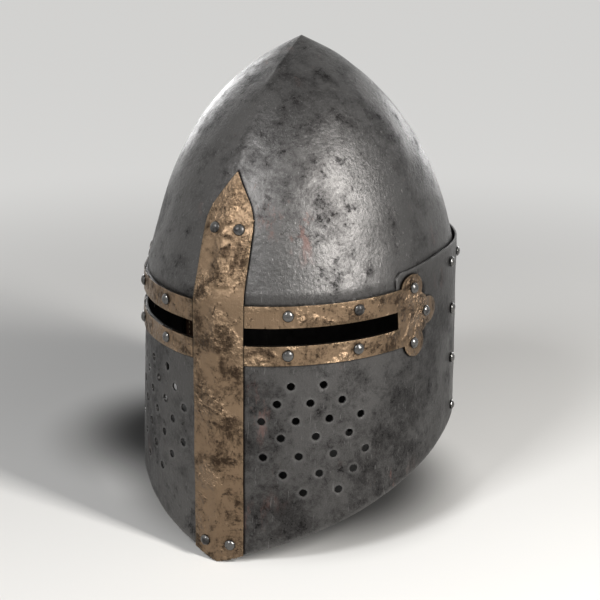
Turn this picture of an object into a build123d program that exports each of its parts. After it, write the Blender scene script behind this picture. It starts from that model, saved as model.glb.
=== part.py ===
"""Great helm with a riveted face plate, a brass keel bar and two brass sight bands.

The helm stands on the front tip of its rim and on the back of its rim, with +Z up.
It faces -Y, and the wearer's left side is +X. All sizes are in millimetres.
While it is built, the front of the rim is at Y = 0, and every piece is moved at
the end so that the origin lies under the middle of the helm.
"""
from build123d import *
import math
import os

os.makedirs("parts", exist_ok=True)

# Sheet thicknesses and clearances
steel = 1.6
brass = 1.5
leather = 2.0
seat_gap = 0.3
hole_gap = 0.1
dome_gap = 0.1
overrun = 6.0

# Wall of the lower helm: a nose arc, a cheek arc and a rounded back, at the rim and at the brow
nose_angle = 8.0
cheek_angle = 70.0
quarter_turn = 90.0
brow_height = 212.0
brow_half_width = 118.0
brow_depth = 284.0
brow_set_back = 5.0
brow_widest_from_front = 0.5845 * brow_depth
rim_flare = 9.0
rim_half_width = brow_half_width + rim_flare
rim_back_taper = 13.0
rim_depth = brow_depth - rim_back_taper
rim_widest_from_front = 0.5314 * rim_depth

# Skull: collar inside the lower plates, waist above it and the dome up to the point
helm_height = 374.5
apex_from_front = 0.5282 * brow_depth
collar_foot = 187.0
waist_height = 208.0
dome_rise = helm_height - waist_height
skull_sink = steel + dome_gap
dome_height_shares = (0.05, 0.2, 0.333, 0.467, 0.6, 0.733, 0.844, 0.933)
dome_half_width_shares = (0.982, 0.928, 0.872, 0.793, 0.685, 0.538, 0.373, 0.191)
dome_front_shares = (0.022, 0.09, 0.155, 0.237, 0.341, 0.476, 0.63, 0.818)
dome_back_shares = (0.98, 0.919, 0.837, 0.737, 0.61, 0.475, 0.328, 0.166)
widest_share = 0.576

# Rim of the face plate: it climbs outwards and backwards. The foot of the bar is cut steeper
rim_low_height = 2.3
rim_climb_out_share = 0.22
rim_climb_back_share = 0.262
foot_climb_out_share = 0.295
foot_climb_back_share = 0.226
back_rim_arch_from_front = 0.8192 * rim_depth
back_rim_arch_height = 50.0
back_rim_foot_from_front = 0.9225 * rim_depth
rim_rounds = 3

# Top edge of the lower plates: level in front, with a step up behind each sight band
face_top = 200.6
step_from_front = 0.3134 * brow_depth
step_straight = 5.0
step_shoulder_height = 213.0
step_shoulder_run = 10.0
side_top = 216.5
side_top_from_front = 0.5282 * brow_depth

# Riveted side seams
seam_from_front = 0.6092 * brow_depth
seam_edge_lap = 8.0
back_lap = 16.0
seam_joint_gap = 0.3
seam_rivet_heights = (124.0, 83.7)
seam_top_rivet_height = 202.8

# Sights
sight_bottom = 171.5
sight_top = 184.9
sight_end_from_front = 0.3099 * brow_depth
sight_under_bar = 1.0

# Keel bar
bar_half_width = 19.8
bar_shoulder_height = waist_height + 0.2402 * dome_rise
bar_tip_height = waist_height + 0.4865 * dome_rise
bar_neck_half_width = 0.95 * bar_half_width
bar_round_half_width = 0.885 * bar_half_width
bar_round_height = waist_height + 0.3081 * dome_rise
bar_bend_half_width = 0.66 * bar_half_width
bar_bend_height = waist_height + 0.3694 * dome_rise
bar_joggle_run = 6.0
bar_bottom_rivet_height = 15.3
bar_bottom_rivet_side = 10.1
bar_top_rivet_height = waist_height + 0.2601 * dome_rise
bar_top_rivet_side = 9.2

# Sight bands with their trefoil ends
band_bottom = 156.9
band_top = 201.0
trefoil_run = 0.5616 * brow_depth
trefoil_height = 178.2
trefoil_lobe_radius = 10.5
trefoil_lobe_rise = 21.0
trefoil_lobe_out = 15.8
trefoil_neck_out = 14.0
trefoil_neck_rise = 12.0
trefoil_root = 20.0
upper_band_rivet_height = 193.8
lower_band_rivet_height = 164.6
band_rivet_runs = (0.1831 * brow_depth, 0.3697 * brow_depth)

# Breaths: seven staggered rows on each cheek
breath_radius = 3.0
breath_row_heights = (140.6, 127.3, 114.0, 101.0, 86.2, 72.1, 57.5)
breath_first_runs = (54.5, 44.5, 33.2, 47.5, 34.5, 49.2, 64.2)
breath_pitches = (24.0, 24.3, 25.1, 25.8, 26.2, 27.0, 27.0)
breath_counts = (2, 3, 4, 3, 4, 3, 2)

# Rivets
rivet_head_radius = 3.9
rivet_head_rise = 2.7
rivet_shank_radius = 2.0
rivet_peen_radius = 3.1
rivet_peen_rise = 1.2
rivet_slack = 0.05
washer_radius = 4.4
washer_thickness = 0.8
washer_seat = 0.1
back_rivet_count = 7
back_rivet_height = 203.0
back_rivet_first_angle = 19.0

# Lining: a leather band under the brow, six padded petals and a crown ring
band_clear = 0.8
petal_thickness = 5.0
petal_top = waist_height + 0.5646 * dome_rise
petal_count = 6
petal_foot = back_rivet_height + washer_radius + 2 * seat_gap
petal_sink = 2 * steel + 2 * seat_gap
petal_slot = 4.0
petal_height_shares = (0.3, 0.64, 0.87, 1.0)
petal_half_width_shares = (0.905, 0.75, 0.52, 0.26)
petal_front_shares = (0.1, 0.27, 0.5, 0.74)
petal_back_shares = (0.9, 0.72, 0.5, 0.26)
crown_ring_width = 14.0

# Chin straps, hung on the second seam rivet of each side
strap_height = 165.0
strap_width = 18.0
strap_thickness = 2.5
strap_clear = 0.8
strap_end = 11.0
strap_point = 6.0
tail_length = 112.0
tail_hole_radius = 1.7
tail_hole_count = 5
tail_hole_pitch = 14.0
tail_first_hole = 22.0
washer_gap = 0.15

# Buckle on the left strap
bar_drop = 52.0
buckle_bar_radius = 1.3
buckle_side = 3.0
buckle_drop = 20.0
buckle_corner = 4.0
buckle_side_gap = 0.5
loop_wall = 1.8
tongue_width = 3.6
tongue_thickness = 1.4
tongue_slot = 4.6
tongue_slot_rise = 7.0
tongue_overhang = 1.2
running_gap = 0.1


def blend(low, high, share):
    return low + (high - low) * share


class Ring:
    """Level outline of the helm: nose arcs, cheek arcs and a rounded back."""

    def __init__(self, front, half_width, widest, back):
        nose = math.radians(nose_angle)
        cheek = math.radians(cheek_angle)
        rise = widest - front
        across_nose = math.sin(cheek) - math.sin(nose)
        across_cheek = 1 - math.sin(cheek)
        along_nose = math.cos(nose) - math.cos(cheek)
        along_cheek = math.cos(cheek)
        scale = across_nose * along_cheek - across_cheek * along_nose
        self.nose_radius = (half_width * along_cheek - rise * across_cheek) / scale
        self.cheek_radius = (across_nose * rise - along_nose * half_width) / scale
        self.nose_x = -self.nose_radius * math.sin(nose)
        self.nose_y = front + self.nose_radius * math.cos(nose)
        step = self.nose_radius - self.cheek_radius
        self.cheek_x = self.nose_x + step * math.sin(cheek)
        self.front = front
        self.half_width = half_width
        self.widest = widest
        self.back = back

    def on_nose(self, angle, skin):
        reach = self.nose_radius + skin
        return (self.nose_x + reach * math.sin(angle), self.nose_y - reach * math.cos(angle))

    def on_cheek(self, angle, skin):
        reach = self.cheek_radius + skin
        return (self.cheek_x + reach * math.sin(angle), self.widest - reach * math.cos(angle))

    def outline(self, height, skin):
        """Face of the outline, grown by skin, at a height"""
        side = math.pi / 2
        cheek = math.radians(cheek_angle)
        keel = math.asin(-self.nose_x / (self.nose_radius + skin))
        right = [self.on_nose(keel, skin)]
        right.append(self.on_nose((keel + cheek) / 2, skin))
        right.append(self.on_nose(cheek, skin))
        right.append(self.on_cheek((cheek + side) / 2, skin))
        right.append(self.on_cheek(side, skin))
        left = [(-x, y) for x, y in reversed(right)]
        centre = (0, self.widest)
        across = self.half_width + skin
        along = self.back - self.widest + skin
        edges = [ThreePointArc(*right[:3]), ThreePointArc(*right[2:])]
        for start in (0, quarter_turn):
            edges.append(EllipticalCenterArc(centre, across, along, start_angle=start, arc_size=quarter_turn))
        edges += [ThreePointArc(*left[:3]), ThreePointArc(*left[2:])]
        return Pos(0, 0, height) * make_face(Wire(edges))


def wall_ring(height):
    share = height / brow_height
    front = blend(0, brow_set_back, share)
    half_width = blend(rim_half_width, brow_half_width, share)
    widest = blend(rim_widest_from_front, brow_widest_from_front, share)
    return Ring(front, half_width, widest, blend(rim_depth, brow_depth, share))


def shrunk(ring, skin):
    return Ring(ring.front + skin, ring.half_width - skin, ring.widest, ring.back - skin)


def wall_block(bottom, top, bottom_skin, top_skin):
    """Solid inside the wall, between two heights"""
    low = wall_ring(bottom).outline(bottom, bottom_skin)
    high = wall_ring(top).outline(top, top_skin)
    return loft([low, high], ruled=True)


def wall_sheet(bottom, top, inner, outer):
    """Sheet between two skins of the wall"""
    low = bottom - overrun
    high = top + overrun
    return wall_block(bottom, top, outer, outer) - wall_block(low, high, inner, inner)


def stations(foot, head, base, top_y, shares):
    """Rings from a foot height to a head height, as shares of the base ring"""
    rings = []
    for rise, half_share, front_share, back_share in shares:
        front = blend(base.front, top_y, front_share)
        back = blend(top_y, base.back, back_share)
        half_width = base.half_width * half_share
        ring = Ring(front, half_width, blend(front, back, widest_share), back)
        rings.append((blend(foot, head, rise), ring))
    return rings


def dome_block(foot, wall, sink, rings, skin, apex=None):
    """Smooth solid from a foot sunk inside the wall through the rings, up to an apex"""
    heights = [foot] + [height for height, ring in rings]
    widths = [wall.half_width - sink] + [ring.half_width for height, ring in rings]
    if apex:
        heights.append(apex[1])
        widths.append(0)
    faces = [wall.outline(foot, skin - sink)]
    for place, (height, ring) in enumerate(rings, start=1):
        after = min(place + 1, len(heights) - 1)
        slope = (widths[after] - widths[place - 1]) / (heights[after] - heights[place - 1])
        faces.append(ring.outline(height, skin * math.hypot(1, slope)))
    if apex:
        slope = widths[-2] / (heights[-1] - heights[-2])
        faces.append(Vertex(0, apex[0], apex[1] + skin * math.hypot(1, slope) / slope))
    return loft(faces)


def skull_block(skin):
    """Dome of the skull from the waist to the point, grown by skin square to the slope"""
    wall = wall_ring(waist_height)
    shares = zip(dome_height_shares, dome_half_width_shares, dome_front_shares, dome_back_shares)
    base = shrunk(wall, skull_sink)
    rings = stations(waist_height, helm_height, base, apex_from_front, shares)
    return dome_block(waist_height, wall, skull_sink, rings, skin, (apex_from_front, helm_height))


def collar_sheet(bottom, inner, outer):
    """Sheet between two skins of the wall, drawn in towards the dome's foot at the waist"""
    outside = wall_block(bottom, waist_height, outer, outer - dome_gap)
    return outside - wall_block(bottom, waist_height, inner, inner - dome_gap)


def wall_place(run, height, skin=0.0):
    """Plane on the wall at a distance from the keel along the wall, facing outwards"""

    def point(level):
        ring = wall_ring(level)
        angle = math.radians(nose_angle) + run / ring.nose_radius
        cheek = math.radians(cheek_angle)
        if angle <= cheek:
            return ring.on_nose(angle, skin), angle
        left_over = run - (cheek - math.radians(nose_angle)) * ring.nose_radius
        angle = cheek + left_over / ring.cheek_radius
        return ring.on_cheek(angle, skin), angle

    (x, y), angle = point(height)
    (x_above, y_above), _ = point(height + steel)
    along = Vector(math.cos(angle), math.sin(angle), 0)
    upward = Vector(x_above - x, y_above - y, steel)
    return Plane((x, y, height), x_dir=along, z_dir=along.cross(upward))


def back_place(angle, height, skin=0.0):
    """Plane on the rounded back at an angle behind the widest place, facing outwards"""

    def point(level):
        ring = wall_ring(level)
        across = ring.half_width + skin
        along = ring.back - ring.widest + skin
        return across * math.cos(turn), ring.widest + along * math.sin(turn), across, along

    turn = math.radians(angle)
    x, y, across, along = point(height)
    x_above, y_above, _, _ = point(height + steel)
    tangent = Vector(-across * math.sin(turn), along * math.cos(turn), 0).normalized()
    upward = Vector(x_above - x, y_above - y, steel)
    return Plane((x, y, height), x_dir=tangent, z_dir=tangent.cross(upward))


def seam_place(height, skin=0.0):
    """Plane on the wall where the side seam crosses a height"""
    ring = wall_ring(height)
    share = (seam_from_front - ring.widest) / (ring.back - ring.widest)
    return back_place(math.degrees(math.asin(share)), height, skin)


def skull_place(side, height, skin):
    """Plane on the front of the skull, found from straight ahead"""
    hits = skull_block(skin).find_intersection_points(Axis((side, -overrun, height), (0, 1, 0)))
    point, normal = min(hits, key=lambda hit: hit[0].Y)
    if normal.Y > 0:
        normal = -normal
    return Plane(point, x_dir=(1, 0, 0), z_dir=normal)


def drill(plane, radius, depth):
    return plane * Cylinder(radius, depth)


def rivet(plane, grip, head_radius=rivet_head_radius):
    """Round-headed rivet, seated on a plane and peened over behind its grip"""
    foot = -grip - rivet_slack
    head_ball = (head_radius**2 + rivet_head_rise**2) / (2 * rivet_head_rise)
    peen_ball = (rivet_peen_radius**2 + rivet_peen_rise**2) / (2 * rivet_peen_rise)
    head = RadiusArc((head_radius, 0), (0, rivet_head_rise), -head_ball)
    crown = Line((0, rivet_head_rise), (0, foot - rivet_peen_rise))
    peen = RadiusArc((0, foot - rivet_peen_rise), (rivet_peen_radius, foot), -peen_ball)
    neck = (rivet_shank_radius, foot)
    shank = Polyline((rivet_peen_radius, foot), neck, (rivet_shank_radius, 0), (head_radius, 0))
    profile = make_face(Wire([head, crown, peen] + shank.edges()))
    return plane * revolve(Plane.XZ * profile, Axis.Z)


def washer(plane, grip, inner_radius=rivet_shank_radius + hole_gap):
    """Burr washer whose far face lies at the end of a grip"""
    ring = Cylinder(washer_radius, washer_thickness) - Cylinder(inner_radius, 2 * washer_thickness)
    return plane * Pos(0, 0, washer_thickness / 2 - grip) * ring


def slant_keep(from_front, height, climb_out, climb_back):
    """Everything above a slant that starts in the middle plane and climbs outwards and backwards"""
    reach = brow_depth
    start = from_front - overrun
    low = height - overrun * climb_back
    wing = low + reach * climb_out
    outline = Polyline((0, low), (reach, wing), (reach, wing + helm_height), (0, helm_height),
                       (-reach, wing + helm_height), (-reach, wing), (0, low))
    profile = Plane.XZ.offset(-start) * make_face(outline)
    slant = Vector(0, 1, climb_back)
    return extrude(profile, amount=(reach + 2 * overrun) * slant.length, dir=slant.normalized())


def side_prism(outline):
    """Outline drawn in the side view, run right across the helm"""
    reach = rim_half_width + overrun
    return extrude(Plane.YZ * make_face(outline), amount=reach, both=True)


def box(x_range, y_range, z_range):
    """Box between three pairs of limits"""
    sides = [high - low for low, high in (x_range, y_range, z_range)]
    middle = [(high + low) / 2 for low, high in (x_range, y_range, z_range)]
    return Pos(*middle) * Box(*sides)


def mirrored(solid):
    return mirror(solid, about=Plane.YZ)


def both_sides(solids):
    return list(solids) + [mirrored(solid) for solid in solids]


def seam_edge():
    return seam_from_front + seam_edge_lap


def breath_places():
    """Planes of the breaths of the left cheek, row by row from the top"""
    places = []
    for height, first, pitch, count in zip(breath_row_heights, breath_first_runs, breath_pitches, breath_counts):
        places += [wall_place(first + place * pitch, height) for place in range(count)]
    return places


def lined_grip(outer_sheets):
    """Grip of a rivet that also holds the skull's collar, the lining band and its washer"""
    return outer_sheets + steel + seat_gap + leather + washer_seat + washer_thickness


low_grip = brass + steel
upper_band_places = [wall_place(run, upper_band_rivet_height, brass) for run in band_rivet_runs]
lower_band_places = [wall_place(run, lower_band_rivet_height, brass) for run in band_rivet_runs]
trefoil_top = wall_place(trefoil_run, trefoil_height + trefoil_lobe_rise, brass)
trefoil_low = wall_place(trefoil_run, trefoil_height - trefoil_lobe_rise, brass)
trefoil_mid = wall_place(trefoil_run + trefoil_lobe_out, trefoil_height, brass)
seam_top = seam_place(seam_top_rivet_height)
seam_places = [seam_place(height) for height in seam_rivet_heights]
bar_low_place = wall_place(bar_bottom_rivet_side, bar_bottom_rivet_height, brass)
bar_top_place = skull_place(bar_top_rivet_side, bar_top_rivet_height, brass)
back_turn = (180 - 2 * back_rivet_first_angle) / (back_rivet_count - 1)
back_angles = [back_rivet_first_angle + place * back_turn for place in range(back_rivet_count)]
back_places = [back_place(angle, back_rivet_height) for angle in back_angles]

strap_wall = seam_place(strap_height)
strap_out = Vector(strap_wall.z_dir.X, strap_wall.z_dir.Y, 0).normalized()
strap_plane = Plane(strap_wall.origin, x_dir=(-strap_out.Y, strap_out.X, 0), z_dir=strap_out)


def rivet_holes():
    """Drills for every rivet that passes through the plates"""
    radius = rivet_shank_radius + hole_gap
    depth = 4 * overrun
    half = upper_band_places + lower_band_places + [trefoil_top, trefoil_low, trefoil_mid]
    half += [seam_top, bar_low_place, bar_top_place, strap_plane] + seam_places
    drills = both_sides([drill(place, radius, depth) for place in half])
    return drills + [drill(place, radius, depth) for place in back_places]


def plate_top():
    """Side view of the space above the top edge of the lower plates"""
    shoulder = (step_from_front + step_shoulder_run, step_shoulder_height)
    rise = (step_from_front, face_top + step_straight)
    high = helm_height
    far = brow_depth + overrun
    level = Line((-overrun, face_top), (step_from_front, face_top))
    step = Line((step_from_front, face_top), rise)
    bend = TangentArc(rise, shoulder, tangent=(0, 1))
    slope = Line(shoulder, (side_top_from_front, side_top))
    rest = Polyline((side_top_from_front, side_top), (far, side_top), (far, high),
                    (-overrun, high), (-overrun, face_top))
    return side_prism(Wire([level, step, bend, slope] + rest.edges()))


def rim_height_at(from_front):
    """Height of the slanted rim where the side wall is this far from the front"""
    height = 0
    for _ in range(rim_rounds):
        ring = wall_ring(height)
        share = (from_front - ring.widest) / (ring.back - ring.widest)
        side = ring.half_width * math.sqrt(1 - share**2)
        height = rim_low_height + rim_climb_out_share * side + rim_climb_back_share * from_front
    return height


def back_rim_keep():
    """Side view of the space above the arched rim of the back plate"""
    edge = seam_edge()
    edge_height = rim_height_at(edge)
    foot = (back_rim_foot_from_front, 0)
    arch = (back_rim_arch_from_front, back_rim_arch_height)
    far = brow_depth + overrun
    bend = ThreePointArc((edge, edge_height), arch, foot)
    rest = Polyline(foot, (far, 0), (far, helm_height), (edge, helm_height), (edge, edge_height))
    return side_prism(Wire([bend] + rest.edges()))


def make_face_plate(drills, keep):
    plate = wall_sheet(-overrun, side_top + overrun, -steel, 0)
    plate = plate & box((-brow_depth, brow_depth), (-overrun, seam_edge()), (-overrun, helm_height))
    plate = (plate & keep) - plate_top()
    near = bar_half_width - sight_under_bar
    sight = box((near, brow_depth), (-overrun, sight_end_from_front), (sight_bottom, sight_top))
    plate = plate - sight - mirrored(sight)
    holes = both_sides([drill(place, breath_radius, 2 * overrun) for place in breath_places()])
    return plate - holes - drills


def make_back_plate(drills, keep):
    far = (seam_edge() + seam_joint_gap, brow_depth + overrun)
    main = wall_sheet(-overrun, side_top, -steel, 0) & back_rim_keep()
    main = main & box((-brow_depth, brow_depth), far, (0, helm_height))
    lap_range = (seam_edge() - back_lap, far[0] + 2 * steel)
    lap_top = collar_foot - 2 * seat_gap
    lap = wall_sheet(-overrun, lap_top, -2 * steel, -steel) & keep
    lap = lap & box((-brow_depth, brow_depth), lap_range, (0, helm_height))
    return (main + lap) - drills


def make_skull(drills):
    collar = collar_sheet(collar_foot, -2 * steel, -steel)
    dome = skull_block(0) - skull_block(-steel)
    return (dome + collar) - drills


def bar_outline():
    """Front view of the keel bar above the rim, with its pointed head"""
    low = -2 * overrun
    edges = []
    for side in (1, -1):
        tip = (0, bar_tip_height)
        bend = (side * bar_bend_half_width, bar_bend_height)
        rounding = (side * bar_round_half_width, bar_round_height)
        shoulder = (side * bar_neck_half_width, bar_shoulder_height)
        brow = (side * bar_half_width, face_top)
        corner = (side * bar_half_width, low)
        edges += [Line(tip, bend), ThreePointArc(bend, rounding, shoulder)]
        edges += [Line(shoulder, brow), Line(brow, corner), Line(corner, (0, low))]
    outline = make_face(Wire(edges))
    return extrude(Plane.XZ * outline, amount=brow_widest_from_front / 2, both=True)


def make_keel_bar(drills, keep):
    shelf = face_top + seat_gap
    settle = shelf + bar_joggle_run
    lower = wall_sheet(-overrun, shelf, 0, brass)
    joggle = wall_block(shelf, settle, brass, brass - steel)
    joggle = joggle - wall_block(shelf - overrun, settle + overrun, -steel, -steel)
    collar = collar_sheet(settle, -steel, brass - steel)
    head = skull_block(brass) - skull_block(0)
    bar = (lower + joggle + collar + head) & bar_outline()
    return (bar & keep) - drills


def trefoil():
    """Clover end of the left sight band, drawn flat on the wall"""
    place = wall_place(trefoil_run, trefoil_height)
    low = band_bottom - trefoil_height
    high = band_top - trefoil_height
    neck = (trefoil_neck_out, trefoil_neck_rise)
    outline = Polyline((-trefoil_root, low), (0, low), (trefoil_neck_out, -trefoil_neck_rise),
                       neck, (0, high), (-trefoil_root, high), (-trefoil_root, low))
    shape = make_face(outline)
    for centre in ((0, trefoil_lobe_rise), (0, -trefoil_lobe_rise), (trefoil_lobe_out, 0)):
        shape = shape + Pos(*centre) * Circle(trefoil_lobe_radius)
    return extrude(place * shape, amount=2 * overrun, both=True)


def make_sight_band(drills):
    sheet = wall_sheet(band_bottom - 2 * overrun, band_top + 2 * overrun, 0, brass)
    reach = (bar_half_width, brow_depth)
    arm = box(reach, (-overrun, sight_end_from_front + brass), (band_bottom, band_top))
    sight = box(reach, (-overrun, sight_end_from_front), (sight_bottom, sight_top))
    band = (sheet & arm) - sight
    clover = (sheet & trefoil()) - sight
    return (band + clover) - drills


def make_lining_band(drills):
    foot = collar_foot + band_clear
    inner = -2 * steel - seat_gap - leather
    return wall_sheet(foot, waist_height - band_clear, inner, inner + leather) - drills


def petal_rings():
    shares = zip(petal_height_shares, petal_half_width_shares, petal_front_shares, petal_back_shares)
    base = shrunk(wall_ring(petal_foot), petal_sink)
    return stations(petal_foot, petal_top, base, apex_from_front, shares)


def petal_block(skin):
    return dome_block(petal_foot, wall_ring(petal_foot), petal_sink, petal_rings(), skin)


def make_petals():
    """Six padded petals, from the front one round by the wearer's left"""
    shell = petal_block(0) - petal_block(-petal_thickness)
    sector = 360 / petal_count
    for place in range(petal_count // 2):
        slot = Rot(0, 0, place * sector) * Box(2 * brow_depth, petal_slot, 2 * helm_height)
        shell = shell - Pos(0, apex_from_front, 0) * slot
    around = {}
    for solid in shell.solids():
        middle = solid.center()
        turn = math.degrees(math.atan2(middle.X, apex_from_front - middle.Y)) % 360
        around[round(turn / sector) % petal_count] = solid
    return [around[place] for place in range(petal_count)]


def make_crown_ring():
    height, ring = petal_rings()[-1]
    hole = -crown_ring_width
    disc = extrude(ring.outline(petal_top + seat_gap, 0), amount=leather, dir=(0, 0, 1))
    opening = extrude(ring.outline(petal_top, hole), amount=2 * leather + seat_gap, dir=(0, 0, 1))
    return disc - opening


strap_outer = -2 * steel - strap_clear
strap_inner = strap_outer - strap_thickness
loop_radius = buckle_bar_radius + running_gap + loop_wall
bar_depth = strap_outer - loop_radius
pivot_gap = rivet_shank_radius + running_gap


def strap_sheet(outline):
    """Strap outline in its hanging plane, given the strap's thickness"""
    return strap_plane * extrude(Pos(0, 0, strap_inner) * make_face(outline), amount=strap_thickness,
                                 dir=(0, 0, 1))


def strap_outline(foot, point):
    """Strap with a round top and a foot that narrows to a point"""
    half = strap_width / 2
    top = ThreePointArc((half, 0), (0, strap_end), (-half, 0))
    sides = Polyline((-half, 0), (-half, point - foot), (-half + point, -foot),
                     (half - point, -foot), (half, point - foot), (half, 0))
    return Wire([top] + sides.edges())


def make_tail_strap():
    strap = strap_sheet(strap_outline(tail_length, strap_point))
    strap = strap - drill(strap_plane, pivot_gap, 4 * overrun)
    for place in range(tail_hole_count):
        drop = tail_length - tail_first_hole - place * tail_hole_pitch
        strap = strap - drill(strap_plane * Pos(0, -drop, 0), tail_hole_radius, 4 * overrun)
    return mirrored(strap)


def make_buckle_strap():
    half = strap_width / 2
    top = ThreePointArc((half, 0), (0, strap_end), (-half, 0))
    sides = Polyline((-half, 0), (-half, -bar_drop), (half, -bar_drop), (half, 0))
    strap = strap_sheet(Wire([top] + sides.edges()))
    axis = Rot(0, 90, 0)
    barrel = Pos(0, -bar_drop, bar_depth) * axis * Cylinder(loop_radius, strap_width)
    bore = Pos(0, -bar_drop, bar_depth) * axis * Cylinder(buckle_bar_radius + running_gap, 2 * strap_width)
    slot = Pos(0, -bar_drop, 0) * box((-tongue_slot / 2, tongue_slot / 2),
                                      (-2 * loop_radius, tongue_slot_rise), (-4 * overrun, overrun))
    strap = strap + strap_plane * barrel
    return strap - strap_plane * bore - strap_plane * slot - drill(strap_plane, pivot_gap, 4 * overrun)


def make_buckle_frame():
    inner = strap_width / 2 + buckle_side_gap
    outer = inner + buckle_side
    thick = 2 * buckle_bar_radius
    rim = RectangleRounded(2 * outer, 2 * buckle_drop, buckle_corner)
    hole = RectangleRounded(2 * inner, 2 * (buckle_drop - buckle_side), buckle_corner - buckle_side / 2)
    upper = Pos(0, buckle_drop) * Rectangle(4 * outer, 2 * buckle_drop)
    frame = extrude((rim - hole) - upper, amount=thick / 2, both=True)
    frame = frame + Rot(0, 90, 0) * Cylinder(buckle_bar_radius, 2 * outer)
    return strap_plane * Pos(0, -bar_drop, bar_depth) * frame


def make_buckle_tongue():
    eye = buckle_bar_radius + running_gap
    outer = eye + tongue_thickness
    ring = Rot(0, 90, 0) * (Cylinder(outer, tongue_width) - Cylinder(eye, 2 * tongue_width))
    rest = -buckle_bar_radius - running_gap
    reach = buckle_drop + tongue_overhang
    blade = box((-tongue_width / 2, tongue_width / 2), (-reach, 0), (rest - tongue_thickness, rest))
    blade = blade - Rot(0, 90, 0) * Cylinder(eye, 2 * tongue_width)
    return strap_plane * Pos(0, -bar_drop, bar_depth) * (ring + blade)


def make_strap_rivet():
    lift = rivet_head_radius * strap_wall.z_dir.Z
    grip = lift - strap_inner + 2 * washer_gap + washer_thickness
    return rivet(strap_plane.offset(lift), grip)


def make_strap_washer():
    return washer(strap_plane, -strap_inner + washer_gap + washer_thickness)


def save(name, solids):
    """Write one piece or a group of like pieces, moved so that the origin is under the middle"""
    group = solids if isinstance(solids, list) else [solids]
    bodies = [body for solid in group for body in solid.solids()]
    placed = [Pos(0, -middle_from_front, 0) * body for body in bodies]
    shape = placed[0] if len(placed) == 1 else Compound(children=placed)
    export_step(shape, f"parts/{name}.step")


drills = rivet_holes()
keep = slant_keep(0, rim_low_height, rim_climb_out_share, rim_climb_back_share)
foot_keep = slant_keep(-brass / math.cos(math.radians(nose_angle)), 0, foot_climb_out_share, foot_climb_back_share)

bar_rivets = [rivet(bar_low_place, low_grip), rivet(bar_top_place, low_grip)]
back_rivets = [rivet(place, lined_grip(steel)) for place in back_places]
front_reach = min(solid.bounding_box().min.Y for solid in bar_rivets)
back_reach = max(solid.bounding_box().max.Y for solid in back_rivets)
middle_from_front = (front_reach + back_reach) / 2
save("keel_bar_rivets", both_sides(bar_rivets))
save("back_rivets", back_rivets)

save("skull", make_skull(drills))
save("face_plate", make_face_plate(drills, keep))
save("back_plate", make_back_plate(drills, keep))
save("keel_bar", make_keel_bar(drills, foot_keep))
left_band = make_sight_band(drills)
save("sight_band_left", left_band)
save("sight_band_right", mirrored(left_band))

band_rivets = [rivet(place, lined_grip(low_grip)) for place in upper_band_places + [trefoil_top]]
band_rivets += [rivet(place, low_grip) for place in lower_band_places + [trefoil_mid, trefoil_low]]
save("sight_rivets_left", band_rivets)
save("sight_rivets_right", [mirrored(solid) for solid in band_rivets])

seam_rivets = [rivet(seam_top, lined_grip(steel))]
seam_rivets += [rivet(place, 2 * steel) for place in seam_places]
save("seam_rivets_left", seam_rivets)
save("seam_rivets_right", [mirrored(solid) for solid in seam_rivets])

save("lining_band", make_lining_band(drills))
washers = [washer(place, lined_grip(low_grip)) for place in upper_band_places + [trefoil_top]]
washers += [washer(seam_top, lined_grip(steel))]
back_washers = [washer(place, lined_grip(steel)) for place in back_places]
save("lining_washers", both_sides(washers) + back_washers)

petal_names = ("front", "front_left", "back_left", "back", "back_right", "front_right")
for name, petal in zip(petal_names, make_petals()):
    save(f"lining_petal_{name}", petal)
save("lining_crown_ring", make_crown_ring())

strap_rivet = make_strap_rivet()
save("strap_rivets", both_sides([strap_rivet]))
save("strap_washers", both_sides([make_strap_washer()]))
save("chin_strap_left", make_buckle_strap())
save("chin_strap_right", make_tail_strap())
save("buckle_frame", make_buckle_frame())
save("buckle_tongue", make_buckle_tongue())
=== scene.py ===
import math

import bmesh
import bpy
import numpy as np
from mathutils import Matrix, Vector
from mathutils.geometry import delaunay_2d_cdt
from mathutils.kdtree import KDTree


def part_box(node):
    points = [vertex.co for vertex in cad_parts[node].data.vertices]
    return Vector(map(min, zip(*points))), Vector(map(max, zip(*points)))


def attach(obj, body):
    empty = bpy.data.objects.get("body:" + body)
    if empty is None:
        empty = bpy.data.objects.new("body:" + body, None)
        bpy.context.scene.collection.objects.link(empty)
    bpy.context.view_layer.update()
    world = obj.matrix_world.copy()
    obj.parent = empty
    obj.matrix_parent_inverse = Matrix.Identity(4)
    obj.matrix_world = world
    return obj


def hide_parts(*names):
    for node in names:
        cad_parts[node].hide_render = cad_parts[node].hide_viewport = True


bl_info = {
    "name": "Great Helm",
    "version": (1, 0, 0),
    "blender": (4, 5, 0),
    "location": "3D View > Sidebar > Helm",
    "description": "Riveted great helm with a brass keel bar, a padded lining and a chin strap",
    "category": "Add Mesh",
}

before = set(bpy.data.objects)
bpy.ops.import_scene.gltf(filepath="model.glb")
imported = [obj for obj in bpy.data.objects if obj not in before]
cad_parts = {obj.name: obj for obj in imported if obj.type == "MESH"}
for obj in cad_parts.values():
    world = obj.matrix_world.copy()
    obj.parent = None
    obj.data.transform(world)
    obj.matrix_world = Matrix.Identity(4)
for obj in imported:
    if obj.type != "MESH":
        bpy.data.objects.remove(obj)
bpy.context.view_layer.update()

MM = 0.001
QUARTER = math.pi / 2
HELM = "helm"

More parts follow.
